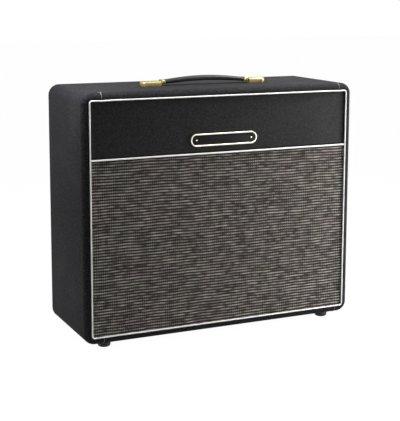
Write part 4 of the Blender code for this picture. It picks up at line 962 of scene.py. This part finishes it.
def strap_outline(half_width, half_height):
    """Rounder on top than underneath."""
    points = []
    for i in range(STRAP_SIDES):
        angle = 2 * math.pi * i / STRAP_SIDES
        across, up = math.cos(angle), math.sin(angle)
        power = 2 / (2.7 if up > 0 else 5.5)
        u = half_width * math.copysign(abs(across) ** power, across)
        v = half_height * math.copysign(abs(up) ** power, up)
        points.append((u, v))
    return points


def make_strap():
    half_width = (STRAP_HIGH.y - STRAP_LOW.y) / 2
    reach = FERRULE_INNER - FIT
    for side, name in SIDES:
        rings = []
        for i in range(STRAP_STATIONS + 1):
            share = i / STRAP_STATIONS
            arch = math.cos(share * QUARTER)
            depth = STRAP_END + (STRAP_MIDDLE - STRAP_END) * arch
            z = FERRULE_RISE + (STRAP_RISE - FERRULE_RISE) * arch
            outline = strap_outline(half_width, depth / 2)
            rings.append(handle_section(side, share * reach, outline, z, LEAN * share))
        strap = add("strap_" + name, loft(rings), STRAP, "strap_rubber", "handle_strap", None)
        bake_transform(strap)


def speaker_piece(name, shape, *details, **more):
    add(name, backwards(shape, SPEAKER), *details, **more)


def wavy(inner, outer, depth, height, count):
    """A smooth wavy line of (radius, depth) between two radii."""
    points = []
    for i in range(8 * count + 1):
        share = i / (8 * count)
        rise = height * math.sin(2 * math.pi * count * share)
        points.append((inner + share * (outer - inner), depth + rise))
    return points


def sheet_ring(line, wall):
    return [(r, d - wall / 2) for r, d in line] + [(r, d + wall / 2) for r, d in line[::-1]]


def cone_line():
    """The cone's (radius, depth) line, with five pressed rings."""
    points = []
    for i in range(61):
        share = i / 60
        radius = CONE_RADIUS + (COIL_RADIUS + FIT - CONE_RADIUS) * share
        depth = CONE_FRONT + (CONE_NECK - CONE_FRONT) * share
        if 0.08 < share < 0.62:
            depth -= 0.0006 * max(0.0, math.cos(2 * math.pi * (share - 0.1) / 0.1)) ** 2
        points.append((radius, depth))
    return points


def make_basket():
    inner = [(LEDGE_RADIUS, LEDGE_DEPTH), (BASKET_REAR, BASKET_DEPTH)]
    inner += [(SPIDER_SEAT, BASKET_DEPTH), (SPIDER_SEAT, BACK_PLATE)]
    profile = [(FLANGE_RADIUS, 0), (FLANGE_RADIUS, FLANGE_THICKNESS), (STEP_RADIUS, FLANGE_THICKNESS)]
    profile += [(STEP_RADIUS, LEDGE_DEPTH + SHEET)] + [(r + SHEET, d + SHEET) for r, d in inner]
    profile += [(MAGNET_BORE, BACK_PLATE + SHEET), (MAGNET_BORE, BACK_PLATE)] + inner[::-1]
    profile += [(STEP_RADIUS - SHEET, LEDGE_DEPTH), (STEP_RADIUS - SHEET, 0)]
    basket = turned(rounded(profile, 0.0012, 2), SPEAKER_STEPS, True)
    half_angle = math.radians(45 - SPOKE_HALF_ANGLE)
    middle, half = (WINDOW[0] + WINDOW[1]) / 2, (WINDOW[1] - WINDOW[0]) / 2
    wedges = []
    for quarter in range(4):
        rings = []
        for radius in (SPIDER_SEAT, FLANGE_RADIUS + 0.004):
            outline = rounded_rectangle(radius * math.tan(half_angle), half, 0.01, 5)
            rings.append([(radius, u, v + middle) for u, v in outline])
        wedges.append(rotated(loft(rings), 90 * quarter, "Z"))
    basket = carved(basket, together(wedges))
    speaker_piece("basket", basket, BASKET_PAINT, "grey_steel", "speaker_frame")
    ribs = []
    slope = (BASKET_REAR - LEDGE_RADIUS) / (BASKET_DEPTH - LEDGE_DEPTH)
    for quarter in range(4):
        for across in (-9, 9):
            line = []
            for depth in (0.014, 0.03, 0.046, 0.066):
                radius = LEDGE_RADIUS + SHEET + slope * (depth - LEDGE_DEPTH) + 0.0005
                angle = math.radians(45 + 90 * quarter + across * (1.0 - 3.0 * (depth - 0.014)))
                line.append((radius * math.cos(angle), radius * math.sin(angle), depth))
            ribs.append(tube(line, 0.0016, (0, 0, 1)))
    speaker_piece("basket_ribs", together(ribs), BASKET_PAINT, "grey_steel")
    bolts = []
    reach = (FLANGE_RADIUS + STEP_RADIUS) / 2
    for i in range(8):
        nut = turned([(0.004, 0), (0.0046, 0.0004), (0.0046, 0.0028), (0.004, 0.0032)], 6)
        stud = turned(rounded([(0.0022, 0), (0.0022, 0.0062), (0.0016, 0.0068)]), 16)
        washer = turned([(0.0058, 0), (0.0058, 0.0008), (0.002, 0.0008), (0.002, 0)], 24, True)
        angle = math.radians(22.5 + 45 * i)
        for shape in (moved(nut, z=0.0008), stud, washer):
            bolts.append(moved(shape, reach * math.cos(angle), reach * math.sin(angle), FLANGE_THICKNESS))
    speaker_piece("speaker_bolts", together(bolts), NICKEL, "grey_steel")


def make_terminals():
    """The soldering block on the upper left spoke, with two brass lugs."""
    depth, face = 0.046, 0.0045
    share = (depth - LEDGE_DEPTH) / (BASKET_DEPTH - LEDGE_DEPTH)
    radius = LEDGE_RADIUS + SHEET - share * (LEDGE_RADIUS - BASKET_REAR)
    board = slab((-0.011, -0.009, depth), (0.011, face, depth + 0.016), 0.002, 0.0008)
    lugs = []
    for x in (-0.0055, 0.0055):
        low, high = (x - 0.002, face, depth + 0.003), (x + 0.002, face + 0.0007, depth + 0.013)
        lugs.append(slab(low, high, 0.0012, 0.0002))
        rivet = turned(rounded([(0.0016, 0), (0.0016, 0.0006), (0.0008, 0.001)], 0.0003), 16)
        lugs.append(moved(rotated(rivet, -90, "X"), x, face + 0.0007, depth + 0.006))
    for name, shape, surface in (("block", board, PLASTIC), ("lugs", together(lugs), GOLD)):
        shape = rotated(moved(shape, y=radius), 135, "Z")
        speaker_piece("terminal_" + name, shape, surface, "grey_steel")


def make_cone():
    slope = (CONE_NECK - CONE_FRONT) / (CONE_RADIUS - COIL_RADIUS - FIT)
    wall = CONE_WALL * math.hypot(1, slope)
    cone = turned(sheet_ring(cone_line(), wall), SPEAKER_STEPS, True)
    speaker_piece("paper_cone", cone, PAPER, "cone_paper", "speaker_cone", "speaker_cone")
    rim = CONE_FRONT + (CONE_RADIUS - DUST_CAP_RADIUS) * slope - wall / 2 - FIT
    dome = []
    for i in range(13):
        angle = QUARTER * i / 12.4
        rise = DUST_CAP_RISE * math.sin(angle)
        dome.append((DUST_CAP_RADIUS * math.cos(angle), rim - CONE_WALL - rise))
    hollow = [(max(r - CONE_WALL / 2, 0.0004), d + CONE_WALL) for r, d in dome]
    cap = turned(hollow[::-1] + dome, 64)
    speaker_piece("paper_dust_cap", cap, PAPER, "cone_paper", "dust_cap", "speaker_cone")
    seat = LEDGE_DEPTH - FIT - CONE_WALL / 2
    line = wavy(CONE_RADIUS + FIT, LEDGE_RADIUS, seat - 0.0016, -0.0015, 2)
    line += [(LEDGE_RADIUS + 0.0015, seat), (STEP_RADIUS - SHEET - FIT, seat)]
    surround = turned(sheet_ring(line, CONE_WALL), SPEAKER_STEPS, True)
    speaker_piece("doped_surround", surround, DOPED, "treated_cloth", "speaker_surround", sharp=60)
    seat = BASKET_DEPTH - FIT - CONE_WALL / 2
    line = wavy(COIL_RADIUS + FIT, SPIDER_SEAT - 0.001, seat - 0.0016, -0.0014, 4)
    line += [(SPIDER_SEAT + 0.001, seat), (BASKET_REAR - 0.002, seat)]
    spider = turned(sheet_ring(line, CONE_WALL), 64, True)
    speaker_piece("doped_spider", spider, DOPED, "treated_cloth", "speaker_spider", sharp=60)


def make_magnet():
    plate, ring = 0.006, 0.018
    front = BACK_PLATE + SHEET + FIT
    back = front + plate + ring

    def plate_ring(bore, low, bend):
        high = low + plate
        profile = [(bore, low), (PLATE_RADIUS, low), (PLATE_RADIUS, high), (bore, high)]
        return turned(rounded(profile, bend), SPEAKER_STEPS, True)

    pole = COIL_RADIUS - 0.002
    pole = turned([(pole - 0.006, front), (pole, front + 0.0006), (pole, back)], 64)
    plates = [plate_ring(COIL_RADIUS + 0.001, front, 0.0006), pole, plate_ring(0.0065, back, 0.0016)]
    speaker_piece("magnet_plates", together(plates), ZINC, "magnet_ferrite", "speaker_magnet")
    low, high = front + plate, back
    bore, rim, bevel = COIL_RADIUS + 0.004, FERRITE_RADIUS, 0.0016
    ferrite = [(bore, low), (rim - 0.0018, low), (rim, low + bevel), (rim, high - bevel)]
    ferrite += [(rim - 0.0018, high), (bore, high)]
    speaker_piece("magnet_ring", turned(ferrite, SPEAKER_STEPS, True), FERRITE, "magnet_ferrite")


def make_back_panels():
    low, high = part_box("lower_back_panel")
    add("lower_back", slab(low, high, 0.009, 0.0022), VINYL, "black_vinyl", "lower_back_panel")
    screws = [(x, high.y, low.z + 0.012) for x in (-0.27, -0.09, 0.09, 0.27)]
    screws += [(x, high.y, low.z + 0.085) for x in (-0.281, 0.281)]
    low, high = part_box("upper_back_panel")
    middle = (low.z + high.z) / 2
    upper = slab(low, high, 0.003, 0.002, ((-0.135, middle + 0.003), 0.107, 0.028, 0.006))
    add("upper_back", upper, VINYL, "black_vinyl", "upper_back_panel")
    screws += [(x, high.y, middle + rise) for x in (-0.279, 0.279) for rise in (-0.034, 0.034)]
    screws += [(x, high.y, low.z + 0.01) for x in (0.05, 0.165)]
    heads, washers = [], []
    for index, (x, y, z) in enumerate(screws):
        head = rotated(slotted_head(0.0036, 0.0016, 0.0008), 37 * index, "Z")
        heads.append(backwards(head, (x, y + 0.0004, z)))
        cup = [(0.0058, 0.0), (0.0056, 0.0007), (0.0046, 0.0015), (0.0037, 0.0011), (0.0037, 0.0)]
        washers.append(backwards(turned(cup, 28, True), (x, y, z)))
    add("back_screws", together(heads), ZINC, "black_vinyl")
    add("cup_washers", together(washers), NICKEL, "black_vinyl")


def lettering(text, size, place):
    """Flat letters that read from behind the amplifier, centred on a place."""
    curve = bpy.data.curves.new("letters", "FONT")
    curve.body = text
    curve.size = size
    curve.align_x = "CENTER"
    curve.align_y = "CENTER"
    curve.extrude = 0.00006
    curve.resolution_u = 3
    made = in_scene("letters", curve)
    bpy.context.view_layer.update()
    mesh = bpy.data.meshes.new_from_object(made.evaluated_get(bpy.context.evaluated_depsgraph_get()))
    shape = bmesh.new()
    shape.from_mesh(mesh)
    bpy.data.objects.remove(made)
    bpy.data.curves.remove(curve)
    bpy.data.meshes.remove(mesh)
    x, y, z = place
    facing = Matrix(((-1, 0, 0, x), (0, 0, 1, y), (0, 1, 0, z), (0, 0, 0, 1)))
    bmesh.ops.transform(shape, matrix=facing, verts=shape.verts)
    return shape


def make_knobs():
    lift, height, radius, top = KNOB_LIFT, 0.0145, 0.012, 0.0088

    def fluted(point, angle):
        on_grip = lift + 0.0036 < point[1] < lift + 0.95 * height
        return 1 - 0.045 * abs(math.sin(9 * angle)) ** 3 if on_grip else 1.0

    profile = [(0.003, -0.01), (0.003, lift), (0.94 * radius, lift), (radius, lift + 0.0006)]
    profile += [(radius, lift + 0.0022), (0.9 * radius, lift + 0.003), (top, lift + 0.0042)]
    grip = ((0.98, 0.92), (0.9, 0.98), (0.78, 0.98), (0.77, 0.94))
    profile += [(r * top, lift + h * height) for r, h in grip]
    disc = ((0.75, 0.9), (0.75, 0.965), (0.7, 0.98), (0.12, 0.97))
    inlay = [(r * top, lift + h * height) for r, h in disc]
    for name in KNOBS:
        x, z = centre_of(name)
        place = (x, Y_CONTROL, z)
        knob = turned(rounded(profile), 108, ripple=fluted)
        add(name + "_body", backwards(knob, place), PLASTIC, "black_plastic", name, name, 40)
        add(name + "_inlay", backwards(turned(inlay, 48), place), GOLD, "black_plastic", body=name)
        line = block((-0.0005, -0.0117, lift + 0.0022), (0.0005, -0.0088, lift + 0.0034))
        add(name + "_pointer", backwards(line, place), IVORY, "black_plastic", body=name)


def make_panel():
    """The control panel's printing and screws."""
    printed = []
    for name in KNOBS:
        x, z = centre_of(name)
        for number in range(DIAL_NUMBERS):
            angle = math.radians((number - (DIAL_NUMBERS - 1) / 2) * DEGREES_PER_NUMBER)
            across, up = x - DIAL_RADIUS * math.sin(angle), z + DIAL_RADIUS * math.cos(angle)
            printed.append(lettering(str(number), NUMBER_SIZE, (across, Y_INK, up)))
    for name in TOGGLES:
        for text, rise in (("ON", SWITCH_LETTERS), ("OFF", -SWITCH_LETTERS)):
            printed.append(lettering(text, NUMBER_SIZE, (centre_of(name)[0], Y_INK, KNOB_Z + rise)))
    add("panel_numbers", together(printed), INK, "panel_gold")
    lines = []
    low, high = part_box("control_panel")
    wide, gap = 0.0004, 0.0005
    for inset in (0.0035, 0.0048):
        left, right, bottom, top = low.x + inset, high.x - inset, low.z + inset, high.z - inset
        for x0, z0, x1, z1 in (
            (left, bottom, right, bottom + wide),
            (left, top - wide, right, top),
            (left, bottom + gap, left + wide, top - gap),
            (right - wide, bottom + gap, right, top - gap),
        ):
            lines.append(block((x0, Y_CONTROL, z0), (x1, Y_CONTROL + 0.00015, z1)))
    add("panel_border", together(lines), INK, "panel_gold")
    heads = []
    corners = itertools.product((low.x + 0.008, high.x - 0.008), (low.z + 0.009, high.z - 0.009))
    for x, z in corners:
        head = rotated(slotted_head(0.003, 0.0016, 0.0007), 300 * x, "Z")
        heads.append(backwards(head, (x, Y_CONTROL + 0.0002, z)))
    add("panel_screws", together(heads), NICKEL, "panel_gold")


def make_jacks():
    for name in nodes_with("_jack_"):
        x, z = centre_of(name)
        low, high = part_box(name)
        face = high.y - JACK_REACH
        end = low.y - face
        behind = end + 0.02
        place = (x, face, z)
        profile = [(0.00325, end + 0.003), (0.00325, 0.0037), (0.0037, JACK_REACH), (0.0046, JACK_REACH)]
        profile += [(0.0048, 0.0039), (0.0048, behind), (0.0084, behind), (0.0088, behind - 0.0004)]
        profile += [(0.0088, end + 0.0005), (0.0083, end)]
        add(name + "_bush", backwards(turned(profile, 48), place), NICKEL, "chrome_metal", name)
        washer = turned([(0.0049, FIT), (0.007, FIT), (0.007, 0.0009), (0.0049, 0.0009)], 32, True)
        nut = moved(hexagon_nut(0.0072, 0.0021, 0.0049), z=0.0009)
        add(name + "_nut", backwards(together([washer, nut]), place), NICKEL, "chrome_metal")


def make_lamp():
    x, z = centre_of("pilot_lamp")
    place = (x, Y_CONTROL, z)
    jewel = [(0.0058, -0.0156), (0.0058, 0.0022), (0.0056, 0.0034), (0.004, 0.0062), (0.0018, 0.0074)]
    add("jewel", backwards(turned(jewel, 12), place), JEWEL, "red_jewel", "pilot_lamp", sharp=5)
    bezel = [(0.0059, FIT), (0.0082, FIT), (0.0082, 0.0015)]
    bezel += [(0.0074, 0.0029), (0.0062, 0.0033), (0.0059, 0.0024)]
    bezel = turned(rounded(bezel, 0.0003), 40, True)
    add("jewel_bezel", backwards(bezel, place), NICKEL, "red_jewel")


def make_toggles():
    ball = 0.00301
    profile = [(r * ball, h * ball) for r, h in ((0.5, -0.8), (0.85, -0.5), (1, 0), (0.85, 0.5), (0.6, 0.8))]
    profile += [(0.0016, 0.005), (0.0017, 0.0064), (0.0024, 0.0093), (0.003, 0.013)]
    profile += [(0.0029, 0.0142), (0.0022, 0.0151), (0.001, 0.0155)]
    guard = [(0.00605, 0.0026), (0.0064, 0.0028), (0.0064, 0.0049), (0.006, 0.0053)]
    guard += [(0.0044, 0.0053), (0.0044, 0.00505), (0.00605, 0.00505)]
    nuts = []
    for name in TOGGLES:
        x = centre_of(name)[0]
        lever = rotated(turned(rounded(profile), 28), -102, "X")
        lever = moved(lever, x, Y_CONTROL + 0.001, KNOB_Z)
        add(name + "_lever", lever, NICKEL, "chrome_metal", name, name)
        nuts.append(backwards(hexagon_nut(0.0092, 0.0022, 0.00605), (x, Y_CONTROL + FIT, KNOB_Z)))
        nuts.append(backwards(turned(guard, 40, True), (x, Y_CONTROL, KNOB_Z)))
    add("toggle_nuts", together(nuts), NICKEL, "panel_gold")


def make_inlet():
    x, z = centre_of("mains_inlet")
    place = (x, Y_CHASSIS, z)
    front = FIT + 0.0022
    floor = front - 0.016
    sections = (
        (0.0275, 0.0195, -0.021),
        (0.0275, 0.0195, FIT),
        (0.0306, 0.0241, FIT),
        (0.031, 0.0245, FIT + 0.0004),
        (0.031, 0.0245, front - 0.0005),
        (0.03, 0.0235, front),
        (0.0248, 0.0168, front),
        (0.024, 0.016, front - 0.0005),
        (0.024, 0.016, floor),
    )
    rings = []
    for width, height, out in sections:
        outline = rounded_rectangle(width / 2, height / 2, 0.003, 6)
        rings.append([(u, v, out) for u, v in outline])
    add("inlet_shell", backwards(loft(rings), place), PLASTIC, "black_plastic", "mains_inlet")
    pins = []
    for across, up in ((-0.007, -0.001), (0.007, -0.001), (0, 0.004)):
        pin = []
        for inset, out in ((0, floor - 0.001), (0, floor + 0.0098), (0.0004, floor + 0.0105)):
            outline = rounded_rectangle(0.001 - inset, 0.002 - inset, 0.0003, 2)
            pin.append([(u + across, v - up, out) for u, v in outline])
        pins.append(loft(pin))
    add("inlet_pins", backwards(together(pins), place), GOLD, "black_plastic")


def milled_cap(radius, height, neck, length):
    """A cap with a milled edge, on a neck, with a slot across its top."""
    lift = KNOB_LIFT

    def milled(point, angle):
        on_edge = lift + 0.22 * height < point[1] < lift + 0.86 * height
        return 1 - 0.03 * max(0.0, math.sin(20 * angle)) if on_edge else 1.0

    profile = [(neck, -length), (neck, lift), (0.96 * radius, lift), (radius, lift + 0.0005)]
    profile += [(radius, lift + 0.25 * height), (radius, lift + 0.84 * height)]
    profile += [(0.94 * radius, lift + 0.96 * height), (0.84 * radius, lift + height)]
    cap = turned(rounded(profile, 0.0003), 120, ripple=milled)
    top = lift + height
    return carved(cap, block((-0.0006, -2 * radius, top - 0.002), (0.0006, 2 * radius, top + 0.002)))


def make_turned_caps():
    """Fuse caps with milled edges, and the impedance selector."""
    sizes = {name: (0.0075, 0.01, 0.0058, 0.026) for name in FUSE_CAPS}
    sizes["impedance_selector"] = (0.0115, 0.008, 0.003, 0.01)
    for name, size in sizes.items():
        x, z = centre_of(name)
        cap = backwards(milled_cap(*size), (x, Y_CHASSIS, z))
        add(name + "_head", cap, PLASTIC, "black_plastic", name, name)
    marks = []
    for text, across, up in (("16", 0.0125, 0.0125), ("8", 0, 0.0158), ("4", -0.0125, 0.0125)):
        marks.append(lettering(text, 0.0036, (x + across, Y_CHASSIS + 0.0001, z + up)))
    add("selector_numbers", together(marks), INK, "zinc_steel")


def make_transformers():
    for name in ("mains_transformer", "output_transformer"):
        low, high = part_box(name)
        length, width, height = high - low
        centre = (low + high) / 2
        core = 0.42 * length / 2
        count = round(2 * core / 0.0016)
        pitch = 2 * core / count
        edges = ((0.0001, 0.0004), (0.0003, 0), (pitch - 0.0003, 0), (pitch - 0.0001, 0.0004))
        sections = []
        for i in range(count):
            start = pitch * i - core
            sections += [(start + along, inset, 0.001) for along, inset in edges]
        sheets = bar(centre, width, height, sections, 2)
        add(name + "_core", sheets, DARK_STEEL, "grey_steel", name)
        outline = [(core, 0.0052), (core + 0.0016, 0.005), (core + 0.0018, 0.0062)]
        bend = 0.011
        for i in range(7):
            angle = QUARTER * i / 6
            inset = 0.0066 + 0.8 * bend * (1 - math.cos(angle))
            outline.append((length / 2 - bend * (1 - math.sin(angle)), inset))
        sections = [(along, inset, 0.004 + 0.4 * inset) for along, inset in outline]
        bells = [bar(centre, width, height, sections, 5, side) for side in (-1, 1)]
        add(name + "_bells", together(bells), BELL_PAINT, "grey_steel")
        bolts = []
        for side, u, v in itertools.product((-1, 1), repeat=3):
            nut = rotated(hexagon_nut(0.0034, 0.0024, 0.0012), 90 * side, "Y")
            y, z = centre.y + u * (width / 2 - 0.0085), centre.z + v * (height / 2 - 0.0085)
            bolts.append(moved(nut, centre.x + side * (core + 0.0018), y, z))
        add(name + "_bolts", together(bolts), ZINC, "grey_steel")


def make_valves():
    plates, discs, getters = [], [], []
    envelope = [(0.8, 0.0), (0.97, 0.04), (1.0, 0.08), (1.0, 0.78), (0.95, 0.85), (0.8, 0.9)]
    envelope += [(0.52, 0.935), (0.2, 0.955), (0.13, 0.975), (0.06, 1.0)]
    flash = ((0.7, 0.868), (0.78, 0.84), (0.74, 0.8), (0.6, 0.875))
    for name in nodes_with("_valve"):
        low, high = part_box(name)
        x, y = centre_of(name, 1)
        radius, length = (high.x - low.x) / 2, high.z - low.z
        outer = [(r * radius, -h * length) for r, h in envelope]
        inner = [(max(r - 0.0009, 0.0002), min(h, -0.0008) * 0.985) for r, h in outer]
        glass = turned(rounded(outer, 0.002) + rounded(inner[::-1], 0.002), 36, True)
        add(name + "_glass", moved(glass, x, y, high.z), GLASS, "valve_glass", name)
        top, bottom = high.z - 0.16 * length, high.z - 0.74 * length
        middle = (top + bottom) / 2
        outline = rounded_rectangle(0.52 * radius, 0.3 * radius, 0.28 * radius, 6)
        rings = []
        for z, squeeze in ((top, 1), (middle + 0.001, 1), (middle, 0.9), (middle - 0.001, 1), (bottom, 1)):
            rings.append([(x + squeeze * u, y + squeeze * v, z) for u, v in outline])
        plates.append(loft(rings))
        for side in (-1, 1):
            wing = x + side * 0.66 * radius
            plates.append(block((wing - 0.0015, y - 0.0004, bottom), (wing + 0.0015, y + 0.0004, top)))
        for z in (top + 0.001, bottom - 0.0016):
            discs.append(moved(turned([(0.84 * radius, 0), (0.84 * radius, 0.0007)], 24), x, y, z))
        getter = turned([(r * radius, -h * length) for r, h in flash], 28)
        getters.append(moved(getter, x, y, high.z))
    add("valve_plates", together(plates), FELT, "valve_glass")
    add("valve_micas", together(discs), CERAMIC, "valve_glass")
    add("valve_getters", together(getters), NICKEL, "valve_glass")


def make_capacitor():
    low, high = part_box("filter_capacitor")
    radius, length = 0.0175, high.z - low.z
    profile = [(radius, 0), (radius, 0.9), (radius - 0.0006, 0.915), (radius - 0.0006, 0.93)]
    profile += [(radius + 0.0012, 0.95), (radius + 0.0012, 0.975), (radius - 0.001, 1), (0.6 * radius, 0.985)]
    can = turned(rounded([(r, -h * length) for r, h in profile], 0.0008), 48)
    can = moved(can, *centre_of("filter_capacitor", 1), high.z)
    add("capacitor_can", can, NICKEL, "chrome_metal", "filter_capacitor")


def dress_nodes():
    for surface, names in FINISHES:
        for name in names:
            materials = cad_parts[name].data.materials
            materials.clear()
            materials.append(surface)


def white_to_camera(tree, shader, share, strength):
    """Mixes plain white into a shader where the camera, a mirror or glass sees it."""
    light = tree.nodes.new("ShaderNodeLightPath").outputs
    seen = light["Is Camera Ray"]
    for name in ("Is Glossy Ray", "Is Transmission Ray"):
        seen = shader_node(tree, "Math", {0: seen, 1: light[name]}, operation="MAXIMUM")
    seen = shader_node(tree, "Math", {0: seen, 1: share}, operation="MULTIPLY")
    kind = "Emission" if share < 1 else "Background"
    white = shader_node(tree, kind, {0: 1.0, 1: strength})
    return shader_node(tree, "MixShader", {0: seen, 1: shader, 2: white})


def make_stage():
    """A white floor that keeps a faint shadow, and a world that looks white."""
    shape = bmesh.new()
    bmesh.ops.create_grid(shape, x_segments=1, y_segments=1, size=FLOOR_REACH)
    mesh = mesh_of(shape, "floor")
    floor = in_scene("floor", mesh)
    paint = Surface("floor_white", FLOOR_GREY, 0.9, 0.0)
    white = white_to_camera(paint.tree, paint.shader.outputs[0], *FLOOR_WHITE)
    join(paint.tree, paint.tree.nodes["Material Output"].inputs["Surface"], white)
    mesh.materials.append(paint.material)
    world = bpy.data.worlds.new("studio")
    bpy.context.scene.world = world
    world.use_nodes = True
    tree = world.node_tree
    ambient = tree.nodes["Background"]
    join(tree, ambient.inputs["Color"], 1.0)
    join(tree, ambient.inputs["Strength"], AMBIENT)
    white = white_to_camera(tree, ambient.outputs[0], 1.0, 1.0)
    join(tree, tree.nodes["World Output"].inputs["Surface"], white)


def make_lamps():
    for name, place, target, size, power, colour in LAMPS:
        data = bpy.data.lights.new(name, "AREA")
        data.shape = "RECTANGLE"
        data.size, data.size_y = size
        data.energy = power
        data.color = colour
        lamp = in_scene(name, data)
        lamp.location = place
        aim = Vector(target) - Vector(place)
        lamp.rotation_euler = aim.to_track_quat("-Z", "Y").to_euler()


def make_camera():
    turn, rise, roll = (math.radians(a) for a in (CAMERA_TURN, CAMERA_RISE, CAMERA_ROLL))
    back = Vector((math.sin(turn) * math.cos(rise), -math.cos(turn) * math.cos(rise), math.sin(rise)))
    across = (-back).cross(Vector((0, 0, 1))).normalized()
    upright = across.cross(-back)
    right = math.cos(roll) * across + math.sin(roll) * upright
    up = math.cos(roll) * upright - math.sin(roll) * across
    data = bpy.data.cameras.new("camera")
    camera = in_scene("camera", data)
    matrix = Matrix((right, up, back)).transposed().to_4x4()
    matrix.translation = CAMERA_AIM + back * CAMERA_DISTANCE + Vector((0, Y_FRONT, SHELL_LOW.z))
    camera.matrix_world = matrix
    data.sensor_width = 36
    data.lens = FOCAL_PIXELS * data.sensor_width / PHOTO[1]
    data.shift_x = (PHOTO[0] / 2 - OPTICAL_CENTRE[0]) / PHOTO[1]
    data.shift_y = (OPTICAL_CENTRE[1] - PHOTO[1] / 2) / PHOTO[1]
    bpy.context.scene.camera = camera


PARTS = (
    make_camera, make_stage, make_lamps, dress_nodes, make_covering, make_seams, make_fascia,
    make_grille, make_piping, make_badge, make_feet, make_caps, make_ferrules, make_strap,
    make_basket, make_terminals, make_cone, make_magnet, make_back_panels, make_knobs,
    make_panel, make_jacks, make_lamp, make_toggles, make_inlet, make_turned_caps,
    make_transformers, make_valves, make_capacitor,
)
for make in PARTS:
    make()
bpy.context.scene.view_settings.view_transform = "Standard"
